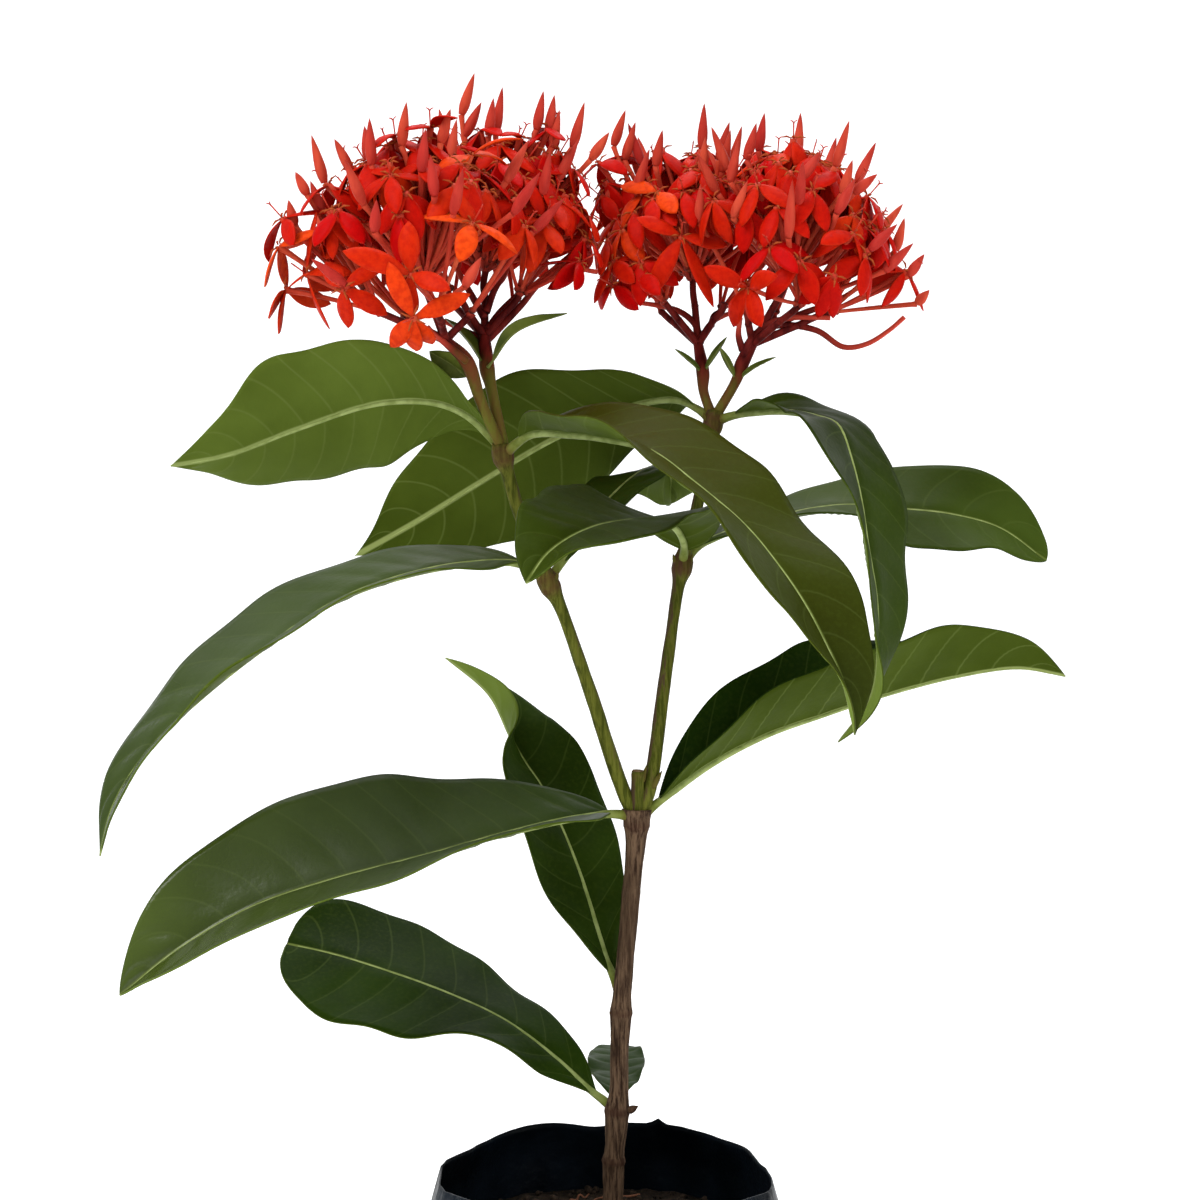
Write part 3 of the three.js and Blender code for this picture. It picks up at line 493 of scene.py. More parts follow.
class Look:
    """A material with short calls for its nodes."""

    def __init__(self, name, **constants):
        self.material = bpy.data.materials.new(name)
        self.material.use_nodes = True
        self.tree = self.material.node_tree
        self.shader = self.tree.nodes["Principled BSDF"]
        for socket, value in constants.items():
            self.shader.inputs[socket.replace("_", " ")].default_value = value

    def node(self, kind, inputs=(), **settings):
        made = self.tree.nodes.new(kind)
        for key, value in settings.items():
            setattr(made, key, value)
        for socket, value in dict(inputs).items():
            if isinstance(value, bpy.types.NodeSocket):
                self.tree.links.new(value, made.inputs[socket])
            else:
                made.inputs[socket].default_value = value
        return made

    def number(self, name):
        return self.node("ShaderNodeAttribute", attribute_name=name).outputs["Fac"]

    def place(self, stretch):
        coordinates = self.node("ShaderNodeTexCoord").outputs["Object"]
        return self.node("ShaderNodeMapping", {"Vector": coordinates, "Scale": stretch}).outputs["Vector"]

    def noise(self, scale, detail=3.0, stretch=(1, 1, 1), roughness=0.5):
        inputs = {"Vector": self.place(stretch), "Scale": scale, "Detail": detail, "Roughness": roughness}
        return self.node("ShaderNodeTexNoise", inputs).outputs["Fac"]

    def math(self, operation, a, b):
        return self.node("ShaderNodeMath", {0: a, 1: b}, operation=operation).outputs[0]

    def between(self, value, low, high, start=0.0, end=1.0):
        """start where the value is low, end where it is high, and smooth between."""
        inputs = {"Value": value, "From Min": low, "From Max": high, "To Min": start, "To Max": end}
        return self.node("ShaderNodeMapRange", inputs, interpolation_type="SMOOTHSTEP").outputs["Result"]

    def span(self, name, low, high, start=0.0, end=1.0):
        """The same for one of the mesh's per-vertex numbers."""
        return self.between(self.number(name), low, high, start, end)

    def mix(self, share, a, b):
        made = self.node("ShaderNodeMix", data_type="RGBA")
        for index, value in ((0, share), (6, a), (7, b)):
            if isinstance(value, bpy.types.NodeSocket):
                self.tree.links.new(value, made.inputs[index])
            else:
                made.inputs[index].default_value = value if index == 0 else (*value, 1)
        return made.outputs[2]

    def colour(self, socket):
        self.tree.links.new(socket, self.shader.inputs["Base Color"])

    def roughness(self, socket):
        self.tree.links.new(socket, self.shader.inputs["Roughness"])

    def bump(self, height, distance, strength=1.0):
        inputs = {"Height": height, "Distance": distance * MM, "Strength": strength}
        bumped = self.node("ShaderNodeBump", inputs).outputs["Normal"]
        self.tree.links.new(bumped, self.shader.inputs["Normal"])


def vein_share(look, width):
    """1 on a side vein, falling to 0 at that share of the space between two veins."""
    return look.between(look.math("PINGPONG", look.number("phase"), 0.5), 0.0, width, 1.0, 0.0)


def leaf_upper(name, specular, roughness, tip_roughness):
    look = Look(name, Specular_IOR_Level=specular)
    patches = look.between(look.noise(22, 4), 0.3, 0.7)
    dark = look.mix(patches, (0.005, 0.015, 0.0004), (0.013, 0.033, 0.0012))
    light = look.mix(patches, (0.068, 0.098, 0.010), (0.105, 0.146, 0.020))
    # Where tone rises towards a leaf's tip, as on leaf_lower_left, its light end paints a glossy highlight.
    blade = look.mix(look.number("tone"), dark, light)
    blade = look.mix(look.math("MULTIPLY", look.number("rust"), 0.7), blade, (0.048, 0.033, 0.001))
    flecks = look.between(look.noise(900, 2), 0.4, 0.8, 0.0, 0.2)
    blade = look.mix(flecks, blade, (0.045, 0.065, 0.006))
    veined = look.mix(look.math("MULTIPLY", vein_share(look, 0.05), 0.18), blade, (0.10, 0.135, 0.03))
    midrib = look.span("rib", 0.2, 0.6, 0.8, 0.0)
    look.colour(look.mix(midrib, veined, (0.13, 0.165, 0.035)))
    worn = look.between(look.noise(60, 3), 0.3, 0.7, roughness, roughness + 0.12)
    polish = look.span("along", 0.5, 0.8, 0.0, tip_roughness - roughness)
    look.roughness(look.math("ADD", worn, polish))
    look.bump(look.noise(650, 3), 0.25, 0.35)
    return look.material


def leaf_lower():
    look = Look("leaf_lower", Specular_IOR_Level=0.03)
    patches = look.between(look.noise(26, 4), 0.3, 0.7)
    dark = look.mix(patches, (0.030, 0.046, 0.002), (0.046, 0.068, 0.005))
    # The light end is partly the underside's own paler green and partly painted light shining through the
    # blade, reached at the tips whose under rises to 1.
    light = look.mix(patches, (0.140, 0.200, 0.028), (0.200, 0.280, 0.048))
    blade = look.mix(look.number("tone"), dark, light)
    veined = look.mix(look.math("MULTIPLY", vein_share(look, 0.06), 0.3), blade, (0.14, 0.18, 0.045))
    midrib = look.span("rib", 0.5, 1.1, 0.9, 0.0)
    look.colour(look.mix(midrib, veined, (0.24, 0.29, 0.09)))
    look.roughness(look.between(look.noise(80, 3), 0.3, 0.7, 0.50, 0.64))
    look.bump(look.noise(800, 3), 0.2, 0.4)
    return look.material


def leaf_rib():
    look = Look("leaf_rib", Specular_IOR_Level=0.05, Roughness=0.5)
    fibres = look.between(look.noise(350, 3), 0.3, 0.7)
    pale = look.mix(fibres, (0.20, 0.25, 0.07), (0.31, 0.37, 0.13))
    green = look.mix(fibres, (0.095, 0.115, 0.014), (0.155, 0.18, 0.034))
    stalk = look.mix(look.span("along", 0.02, 0.12), green, pale)
    foot = look.span("along", 0.005, 0.035, 0.85, 0.0)
    look.colour(look.mix(foot, stalk, (0.13, 0.045, 0.022)))
    look.bump(look.noise(900, 2), 0.1, 0.4)
    return look.material


def bract_look():
    look = Look("bract", Specular_IOR_Level=0.12, Roughness=0.5)
    blade = look.mix(look.between(look.noise(120, 3), 0.3, 0.7), (0.050, 0.070, 0.006), (0.11, 0.135, 0.018))
    look.colour(look.mix(look.span("rib", 0.1, 0.4, 0.7, 0.0), blade, (0.18, 0.21, 0.05)))
    look.bump(look.noise(900, 2), 0.15, 0.4)
    return look.material


def bark_look():
    look = Look("bark", Specular_IOR_Level=0.06, Roughness=0.85)
    fibres = look.noise(1100, 6, (1, 1, 0.10), 0.7)
    brown = look.mix(look.between(fibres, 0.36, 0.64), (0.024, 0.012, 0.007), (0.150, 0.092, 0.054))
    blotches = look.between(look.noise(90, 4, (1, 1, 0.5)), 0.42, 0.68, 0.0, 0.6)
    brown = look.mix(blotches, brown, (0.062, 0.036, 0.020))
    look.colour(look.mix(look.number("scar"), brown, (0.048, 0.020, 0.012)))
    look.bump(fibres, 0.9, 0.9)
    return look.material


def green_bark_look():
    look = Look("green_bark", Specular_IOR_Level=0.05, Roughness=0.55)
    fibres = look.noise(1000, 5, (1, 1, 0.08), 0.65)
    green = look.mix(look.between(fibres, 0.35, 0.65), (0.042, 0.050, 0.004), (0.125, 0.132, 0.018))
    streak = look.math("ADD", look.number("shade"), look.between(fibres, 0.35, 0.65, -0.35, 0.35))
    streaked = look.mix(look.between(streak, 0.35, 0.8, 0.0, 0.9), green, (0.058, 0.030, 0.020))
    look.colour(look.mix(look.number("scar"), streaked, (0.085, 0.030, 0.016)))
    look.bump(fibres, 0.5, 0.7)
    return look.material


def cut_look():
    look = Look("cut_wood", Specular_IOR_Level=0.05, Roughness=0.9)
    look.colour(look.mix(look.noise(900, 3), (0.06, 0.035, 0.016), (0.21, 0.145, 0.075)))
    look.bump(look.noise(1500, 3), 0.3, 0.6)
    return look.material


def peduncle_look():
    look = Look("peduncle", Specular_IOR_Level=0.04, Roughness=0.5)
    streaks = look.between(look.noise(420, 4, (1, 1, 0.15)), 0.3, 0.7)
    maroon = look.mix(streaks, (0.060, 0.005, 0.005), (0.170, 0.016, 0.012))
    green = look.mix(streaks, (0.115, 0.120, 0.016), (0.120, 0.060, 0.016))
    stalk = look.mix(look.number("maroon"), green, maroon)
    look.colour(look.mix(look.number("blush"), stalk, (0.52, 0.055, 0.032)))
    look.bump(look.noise(700, 3), 0.2, 0.5)
    return look.material


def petal_look(name, red, orange, roughness):
    look = Look(name, Specular_IOR_Level=0.03, Roughness=roughness)
    look.shader.inputs["Subsurface Weight"].default_value = 0.1
    look.shader.inputs["Subsurface Radius"].default_value = (0.6 * MM, 0.1 * MM, 0.05 * MM)
    look.shader.inputs["Subsurface Scale"].default_value = 1.0
    base = look.mix(look.number("tone"), red, orange)
    veins = look.between(look.noise(700, 3), 0.35, 0.7, 0.0, 0.4)
    deep = look.mix(veins, base, (0.30, 0.001, 0.001))
    edge = look.span("edge", 0.7, 1.0, 0.0, 0.12)
    pale = look.mix(edge, deep, (0.72, 0.05, 0.01))
    throat = look.span("along", 0.0, 0.14, 0.35, 0.0)
    look.colour(look.mix(throat, pale, (0.60, 0.06, 0.02)))
    look.bump(look.noise(1300, 2), 0.08, 0.5)
    return look.material


def tube_look():
    look = Look("flower_tube", Specular_IOR_Level=0.04, Roughness=0.45)
    base = look.mix(look.number("tone"), (0.50, 0.045, 0.024), (0.66, 0.110, 0.045))
    base = look.mix(look.between(look.noise(260, 3), 0.35, 0.7, 0.0, 0.5), base, (0.36, 0.020, 0.012))
    calyx = look.span("along", 0.0, 0.10, 1.0, 0.0)
    look.colour(look.mix(calyx, base, (0.060, 0.012, 0.008)))
    look.bump(look.noise(900, 2, (1, 1, 0.4)), 0.1, 0.4)
    return look.material


def bud_look():
    look = Look("bud", Specular_IOR_Level=0.04, Roughness=0.42)
    base = look.mix(look.number("tone"), (0.44, 0.030, 0.022), (0.64, 0.100, 0.040))
    streaks = look.between(look.noise(420, 4, (1, 1, 0.2)), 0.35, 0.7, 0.0, 0.5)
    streaked = look.mix(streaks, base, (0.32, 0.014, 0.012))
    dusk = look.span("along", 0.55, 1.0, 0.0, 0.45)
    look.colour(look.mix(dusk, streaked, (0.24, 0.022, 0.016)))
    look.bump(look.noise(900, 2, (1, 1, 0.3)), 0.12, 0.5)
    return look.material


def anther_look():
    look = Look("anther", Specular_IOR_Level=0.05, Roughness=0.7)
    look.colour(look.mix(look.noise(1500, 2), (0.28, 0.035, 0.010), (0.42, 0.090, 0.020)))
    look.bump(look.noise(2000, 2), 0.05, 0.4)
    return look.material


def film_look():
    look = Look("bag_film", Specular_IOR_Level=0.07)
    # Painted sheen: the film's bluish tint and its lighter bluish patches paint the sheen of the bright
    # surroundings on the black film.
    painted_sheen = look.between(look.noise(45, 5), 0.35, 0.75)
    look.colour(look.mix(painted_sheen, (0.0012, 0.0024, 0.0038), (0.0062, 0.0105, 0.0165)))
    look.roughness(look.between(look.noise(70, 4), 0.3, 0.7, 0.32, 0.52))
    creases = look.math("ADD", look.noise(120, 5, (1, 1, 0.45), 0.6), look.noise(380, 3))
    look.bump(creases, 0.9, 0.5)
    return look.material


def soil_look():
    look = Look("potting_mix", Specular_IOR_Level=0.2, Roughness=0.95)
    grains = look.noise(420, 6, roughness=0.7)
    look.colour(look.mix(look.between(grains, 0.3, 0.75), (0.010, 0.007, 0.005), (0.060, 0.036, 0.022)))
    look.bump(grains, 1.5, 1.0)
    return look.material


def root_look():
    look = Look("root", Specular_IOR_Level=0.2, Roughness=0.8)
    look.colour(look.mix(look.noise(600, 3), (0.13, 0.045, 0.022), (0.25, 0.11, 0.06)))
    look.bump(look.noise(1200, 2), 0.2, 0.5)
    return look.material


# ---- stems -------------------------------------------------------------------------------------------

STEM_SIDES = 36
RING_SPACING = 0.9
GRAIN_RADIUS = 4  # at which the bark's grain is taken from the noise
GRAIN_RISE = 0.16  # a low share of the height, which stretches the grain upwards
FURROWS = dict(trunk=0.16, stub=0.05, branch=0.07)  # how deep the grain cuts
NODE_RADIUS = 2.5  # a branch thicker than this is at a leaf node


def woody_tube(shell, rows, slot, scars, furrow, seed):
    """A stem with furrowed bark. scars are heights with how far their ring stands out and how wide it is."""
    rows = placed(rows)
    length = sum(math.dist(a[:3], b[:3]) for a, b in zip(rows, rows[1:]))
    rows = smooth_rows(rows, max(8, int(length / RING_SPACING)))
    path = rows[:, :3]
    angle = angles_round(STEM_SIDES)
    around = np.stack([np.cos(angle), np.sin(angle), np.zeros(STEM_SIDES)], axis=1) * GRAIN_RADIUS
    height = path[:, 2]
    places = around[None] + np.array([0, 0, GRAIN_RISE]) * height[:, None, None]
    fibres = rough(places, 1.1, seed) + 0.5 * rough(places * [1, 1, 2.5], 0.55, seed + 9)
    lumps = rough(around[None] * 0.4 + UP * height[:, None, None], 6, seed + 4)
    ring = np.zeros(len(height))
    for level, rise, width in scars:
        ring += rise * np.exp(-((height - level) / width) ** 2)
    radii = rows[:, 3:4] + furrow * fibres + 0.12 * lumps + ring[:, None]
    scar = np.clip(ring * 2.2, 0, 1)[:, None] * (0.8 + 0.2 * fibres)
    shade = np.clip(0.5 + 0.45 * np.cos(angle - 0.4)[None] + 0.25 * lumps, 0, 1)
    shell.tube(path, radii, STEM_SIDES, slot, scar=scar, shade=shade)


def side_bud(shell, root, tip, radius, slot):
    """A small pointed bud or stipule."""
    swell = np.array([0.7, 1.0, 0.98, 0.85, 0.6, 0.3, 0.05]) * radius
    rings = len(swell)
    path = lerp(root, tip, np.linspace(0, 1, rings)[:, None])
    shell.tube(path, swell, 10, slot, scar=np.full(rings, 0.35), shade=np.full(rings, 0.2))


def build_stems(bark, green, cut):
    """The trunk with its pruned stub, whose top is cut wood, then the two green branches."""
    trunk = Shell()
    woody_tube(trunk, MAIN_STEM, BARK, TRUNK_RINGS, FURROWS["trunk"], 1.0)
    woody_tube(trunk, PRUNED_STUB, GREEN, STUB_RINGS, FURROWS["stub"], 2.0)
    top = seen(*PRUNED_STUB[-1][:3])
    trunk.tube([top, top + [0.02, -0.02, 0.35]], [1.55, 1.45], 16, CUT)
    for root, tip, radius, slot in STEM_BUDS:
        side_bud(trunk, seen_pixel(*root), seen_pixel(*tip), radius, slot)
    trunk.piece("main_stem_detail", [bark, green, cut], "bark", "main_stem")

    for node, rows, seed in (("left_branch", LEFT_BRANCH, 3.0), ("right_branch", RIGHT_BRANCH, 5.0)):
        branch = Shell()
        nodes = [seen(*row[:3]) for row in rows if row[3] > NODE_RADIUS]
        scars = [(middle[2] + lift, 0.35, 1.5) for middle in nodes for lift in (-1.6, 1.4)]
        woody_tube(branch, rows, 0, scars, FURROWS["branch"], seed)
        for middle in nodes:
            for side in (-1, 1):
                foot = middle + [1.9 * side, -1.2, 0.6]
                side_bud(branch, foot, foot + [0.9 * side, -0.3, 2.6], 0.7, 0)
        branch.piece(f"{node}_detail", [green], "green_stem", node)


# ---- leaves ------------------------------------------------------------------------------------------

GLOSSY_LEAVES = ("leaf_lower_left", "leaf_left_long")
LEAF_ROWS = 104
LEAF_COLUMNS = 13  # on each side of the midrib
SPINE_ROWS = 240
RIB_ROWS = 60
RIB_RADIUS = 1.25
CURL = math.radians(16)  # how much a half's section bends up from the midrib to the margin
ROW_EASING = 0.55  # 0 spaces the blade's rows evenly, and 1 draws them to its ends
COLUMN_EASING = 1.2  # 1 spaces the columns evenly, and more draws them to the midrib
LEFT_VEIN_OFFSET = 0.35  # how far the left side's veins are from facing the right side's
VEIN_SLANT = 0.10  # how much of the blade's length a side vein runs towards the tip


def half_width(width, shape, along):
    """Half the blade's width at a share of its length: widest where shape's two powers balance."""
    base, tip = shape
    widest = base / (base + tip)
    inside = np.clip(along, 1e-4, 1 - 1e-4)
    return width / 2 * (inside / widest) ** base * ((1 - inside) / (1 - widest)) ** tip


def section(rise, across):
    """Reach and height of a half's section at a share across it, for a half of width 1."""
    foot = rise - CURL / 2
    bent = foot + CURL * across
    return (np.sin(bent) - np.sin(foot)) / CURL, (np.cos(foot) - np.cos(bent)) / CURL


def build_blade(shell, leaf, seed, thickness=0.42, quilt=0.4, ripple=0.7):
    """A leaf's blade, quilted between its side veins, then its stalk and midrib."""
    stalk = leaf.get("stalk", STALK)
    rows = smooth_rows(placed(leaf["spine"]), SPINE_ROWS)
    normal, right = frames(rows[:, :3], UP)
    share = np.linspace(0, 1, LEAF_ROWS + 1)
    eased = lerp(share, (1 - np.cos(np.pi * share)) / 2, ROW_EASING)
    index = (stalk + (1 - stalk) * eased) * (len(rows) - 1)

    def at(values):
        low = np.clip(index.astype(int), 0, len(rows) - 2)
        part = (index - low)[:, None]
        return values[low] * (1 - part) + values[low + 1] * part

    centre, up, side, rises = at(rows[:, :3]), at(normal), at(right), np.radians(at(rows[:, 3:5]))
    half = np.maximum(half_width(leaf["width"], leaf["shape"], eased), 0.1)
    steps = np.arange(-LEAF_COLUMNS, LEAF_COLUMNS + 1) / LEAF_COLUMNS
    steps = np.sign(steps) * np.abs(steps) ** COLUMN_EASING
    phases = []
    columns = []
    for step in steps:
        across = abs(step)
        is_left = step < 0
        reach, height = section(rises[:, 0 if is_left else 1], across)
        reach = reach * math.copysign(1, step)
        wave = np.sin(TAU * (2.3 + 0.6 * is_left) * eased + seed + 2.1 * is_left)
        wave = wave + 0.6 * np.sin(TAU * 4.7 * eased + 2 * seed + 1.3 * is_left)
        height = height * half + ripple * across ** 3 * wave * np.minimum(1, half / 8)
        columns.append(centre + side * (reach * half)[:, None] + up * height[:, None])
        phases.append((eased - VEIN_SLANT * across ** 1.5) * leaf["veins"] + LEFT_VEIN_OFFSET * is_left)
    surface = np.stack(columns, axis=1)
    phase = np.stack(phases, axis=1)
    rib = np.abs(steps)[None] * half[:, None]

    out = np.cross(np.gradient(surface, axis=1), np.gradient(surface, axis=0))
    out /= np.maximum(np.linalg.norm(out, axis=2), 1e-9)[..., None]
    middle = LEAF_ROWS // 2
    if out[middle, LEAF_COLUMNS] @ up[middle] < 0:
        out = -out
    between = 1 - np.abs(phase - np.round(phase)) * 2  # 1 on a vein, 0 halfway between two
    swell = quilt * (1 - between ** 3) * np.minimum(1, rib / 3) * (1 - np.abs(steps)[None] ** 5)
    groove = 0.35 * np.exp(-(rib / 0.9) ** 2) * np.minimum(1, half / 6)[:, None]
    ridge = 0.16 * np.clip((between - 0.8) / 0.2, 0, 1) * np.minimum(1, rib / 2)
    ridge = ridge * (1 - np.abs(steps)[None] ** 4)
    upper = surface + out * (swell + thickness / 2 - groove)[..., None]
    lower = surface + out * (swell - thickness / 2 - ridge)[..., None]
    rings = np.concatenate([upper, lower[:, ::-1]], axis=1)
    sides = np.repeat([0, 1], len(steps))

    def both(values):
        return np.concatenate([values, values[:, ::-1]], axis=1)

    def ramp(value):
        return np.interp(eased, [0, 1], np.broadcast_to(value, 2))

    # A tone that rises towards the tip paints a glossy highlight, and an under that rises to 1 paints light
    # shining through the blade.
    tones = np.where(sides[None] == 0, ramp(leaf["tone"])[:, None], ramp(leaf["under"])[:, None])
    rust = ramp(leaf.get("rust", 0))
    shell.loft(rings, sides, phase=both(phase), rib=both(rib), along=eased, tone=tones, rust=rust)

    share = np.linspace(0, 0.97, RIB_ROWS)
    taper = np.interp(share, [0, 0.03, 0.08, 0.5, 0.97], [1.3, 1.05, 0.8, 0.4, 0.12])
    radii = leaf.get("rib", RIB_RADIUS) * taper
    sink = smoothstep(stalk * 0.6, stalk + 0.06, share) * radii * 0.75
    path = sample(rows[:, :3], share) - sample(normal, share) * sink[:, None]
    shell.tube(path, radii, 12, 2, along=share)


def build_leaves(satin, glossy, lower, rib, bract):
    for seed, (node, leaf) in enumerate(LEAVES.items()):
        shell = Shell()
        build_blade(shell, leaf | LEAF_COLOURS[node], seed * 1.7)
        upper = glossy if node in GLOSSY_LEAVES else satin
        shell.piece(f"{node}_detail", [upper, lower, rib], "leaf", node)
    for seed, (node, leaf) in enumerate(BRACTS.items()):
        shell = Shell()
        build_blade(shell, BRACT | leaf, seed * 1.3, thickness=0.3, quilt=0.05, ripple=0.15)
        shell.piece(f"{node}_detail", [bract, bract, bract], "bract", node)


# ---- flowers -----------------------------------------------------------------------------------------

TUBE_LENGTH = 29.0
PETAL_LENGTH = 12.8
PETAL_HALF_WIDTH = 2.6
PETAL_HALF_THICKNESS = 0.14
PETAL_SHAPE = (0.85, 0.8)
BUD_LENGTH = 12.5
FLOWER_LIFT = 0.9  # how far a flower turns up from its tube's direction
REFLEX = (0.5, 1.3)  # how far petals bend back, in radians
STYLE_SHARE = 0.6  # of the open flowers have their style
TUBE, PETAL_IN, PETAL_OUT, BUD, ANTHER, TWIG = range(6)


def direction(tilt, turn):
    return np.array([math.sin(tilt) * math.cos(turn), math.sin(tilt) * math.sin(turn), math.cos(tilt)])


def head_parts(head):
    """The head's fork, its middle and its cymes, each with a label, hub and root, as in the CAD model."""
    fork, centre = seen(*head["stalk"][-1][:3]), seen(*head["middle"])
    hubs = {}
    for place in range(CYMES_AROUND):
        around = head["turn"] + place / CYMES_AROUND * TAU
        hubs[str(place + 1)] = centre + direction(math.pi / 2, around) * CYME_SPREAD
    hubs["top"] = centre + UP * CYME_RISE
    return fork, centre, {label: (hub, lerp(fork, hub, BRANCH_SHARE)) for label, hub in hubs.items()}


def sight_line(pixel):
    return unit(seen_pixel(*pixel) - EYE)


def on_dome(centre, pixel):
    """Where the sight line through a pixel meets the head's dome, and how far inside it the line passes."""
    ray = sight_line(pixel)
    start, step = (EYE - centre) / HEAD_REACH, ray / HEAD_REACH
    a, b, c = step @ step, start @ step, start @ start - 1
    inside = b * b - a * c
    distance = (-b - math.sqrt(max(inside, 0.0))) / a
    return EYE + ray * distance, inside, distance


def nearest_head(heads, pixel):
    """The head that the sight line through a pixel meets first, or else passes nearest, with the place."""
    hits = []
    for name, (_, centre, _) in heads.items():
        place, inside, distance = on_dome(centre, pixel)
        hits.append(((inside < 0, distance if inside >= 0 else -inside), name, place))
    return min(hits, key=lambda hit: hit[0])[1:]


def petal(shell, throat, tip, up, tone, rng, twist):
    """A pointed oval petal from the throat to its tip, arched towards up."""
    chord = tip - throat
    ahead = unit(chord)
    lift = unit(up - ahead * (up @ ahead))
    side = np.cross(ahead, lift)
    rows = np.linspace(0, 1, 11)
    arch = rng.uniform(0.6, 1.9)
    centre = throat + chord * rows[:, None] + lift * (arch * 4 * rows * (1 - rows))[:, None]
    width = half_width(2 * PETAL_HALF_WIDTH * rng.uniform(0.88, 1.08), PETAL_SHAPE, rows)
    width = np.maximum(width, np.where(rows < 0.5, 0.5, 0.04))
    across = np.array([-1, -0.55, 0, 0.55, 1])
    droop = rng.uniform(0.12, 0.35)
    spin = np.radians(twist) * rows
    turned = side * np.cos(spin)[:, None] + lift * np.sin(spin)[:, None]
    raised = lift * np.cos(spin)[:, None] - side * np.sin(spin)[:, None]
    fall = -(across ** 2)[None] * (width * droop)[:, None] - 0.12 * np.exp(-(across / 0.25) ** 2)[None]
    surface = centre[:, None] + turned[:, None] * (width[:, None] * across[None])[..., None]
    surface = surface + raised[:, None] * fall[..., None]
    thick = PETAL_HALF_THICKNESS * raised[:, None]
    rings = np.concatenate([surface + thick, (surface - thick)[:, ::-1]], axis=1)
    slots = np.repeat([PETAL_IN, PETAL_OUT], len(across))
    edge = np.tile(np.abs(np.concatenate([across, across[::-1]])), (len(rows), 1))
    shell.loft(rings, slots, along=rows, edge=edge, tone=np.full(len(rows), tone))


def flower_tube(shell, base, throat, tone, rng, top_radius):
    """The slender tube, a little bowed, with its small calyx."""
    along = throat - base
    bow = np.cross(unit(along), rng.normal(size=3)) * rng.uniform(0.2, 1.2)
    shares = np.array([0, 0.02, 0.045, 0.06, 0.2, 0.4, 0.6, 0.8, 0.93, 1])
    radii = np.array([0.5, 0.85, 0.95, 0.55, 0.55, 0.6, 0.65, 0.7, 0.85 * top_radius, top_radius])
    path = base + along * shares[:, None] + bow * (4 * shares * (1 - shares))[:, None]
    shell.tube(path, radii, 8, TUBE, along=shares, tone=np.full(len(shares), tone))


def open_flower(shell, base, throat, tips, tone, rng):
    """A flower tube ending in four petals, with its anthers and its forked style."""
    axis = unit(throat - base)
    flower_tube(shell, base, throat, tone, rng, 1.0)
    for tip in tips:
        petal(shell, throat + unit(tip - throat) * 0.5, tip, axis, tone, rng, rng.uniform(-14, 14))
    across = unit(np.cross(axis, tips[0] - throat))
    ahead = np.cross(across, axis)
    for corner in range(4):
        angle = (corner + 0.5) / 4 * TAU
        out = ahead * math.cos(angle) + across * math.sin(angle)
        foot = throat + out * 0.7 + axis * 0.2
        path = [foot, foot + out * 1.2 + axis * 0.4, foot + out * 2.7 + axis * 0.1]
        shell.tube(path, [0.18, 0.3, 0.12], 5, ANTHER)
    if rng.random() < STYLE_SHARE:
        tip = throat + axis * 4.2 + rng.normal(size=3) * 0.4
        shell.tube([throat, lerp(throat, tip, 0.5), tip], [0.22, 0.2, 0.24], 5, TUBE, along=[0.9, 0.9, 0.9])
        for fork in (-1, 1):
            path = [tip, tip + axis * 0.5 + across * 0.5 * fork, tip + axis * 0.7 + across * 1.1 * fork]
            shell.tube(path, [0.2, 0.18, 0.12], 4, TUBE, along=[0.9, 0.9, 0.9])


def bud_flower(shell, base, joint, tip, tone, rng):
    """A flower tube ending in a closed, four-sided, slightly twisted bud."""
    flower_tube(shell, base, joint, tone, rng, 0.85)
    shares = np.array([0, 0.06, 0.14, 0.24, 0.36, 0.5, 0.64, 0.77, 0.88, 0.96, 1])
    swell = np.array([0.8, 1.0, 1.25, 1.4, 1.42, 1.28, 1.04, 0.78, 0.48, 0.2, 0.04])
    sides = 12
    twist = shares[:, None] * 1.1
    radii = swell[:, None] * (1 + 0.07 * np.cos(4 * (angles_round(sides) + twist)))
    path = lerp(joint, tip, shares[:, None])
    shell.tube(path, radii, sides, BUD, along=shares, tone=np.full(len(shares), tone))


def four_tips(throat, axis, known, rng):
    """The known petal tips, filled up to four with tips in the widest gaps around the throat."""
    known = list(known)
    across = unit(np.cross(axis, [0.3, 0.1, 1.0]))
    ahead = np.cross(across, axis)
    reflex = rng.uniform(*REFLEX)
    turns = [math.atan2((tip - throat) @ across, (tip - throat) @ ahead) for tip in known]
    if not turns:
        turns = [rng.uniform(0, TAU)]
        known = [None]
    while len(turns) < 4:
        ordered = sorted(turn % TAU for turn in turns)
        gaps = [(b - a, a) for a, b in zip(ordered, ordered[1:] + [ordered[0] + TAU])]
        gap, start = max(gaps)
        missing = 4 - len(turns)
        turns.append(start + gap / (2 if gap < 3.6 or missing == 1 else missing + 1))
        known.append(None)
    tips = []
    for turn, tip in zip(turns, known):
        if tip is None:
            out = ahead * math.cos(turn) + across * math.sin(turn)
            lean = reflex + rng.uniform(-0.15, 0.15)
            length = PETAL_LENGTH * rng.uniform(0.92, 1.06)
            tip = throat + length * (out * math.cos(lean) - axis * math.sin(lean))
        tips.append(tip)
    return tips


def tip_at(throat, axis, pixel):
    """The place on a pixel's sight line that makes a petal of the right length, spread from the axis."""
    ray = sight_line(pixel)
    nearest = EYE + ray * ((throat - EYE) @ ray)
    spare = PETAL_LENGTH ** 2 - np.sum((nearest - throat) ** 2)
    if spare <= 0:
        return nearest
    choices = [nearest + ray * math.sqrt(spare) * side for side in (-1, 1)]
    return min(choices, key=lambda tip: abs(unit(tip - throat) @ axis + 0.25))


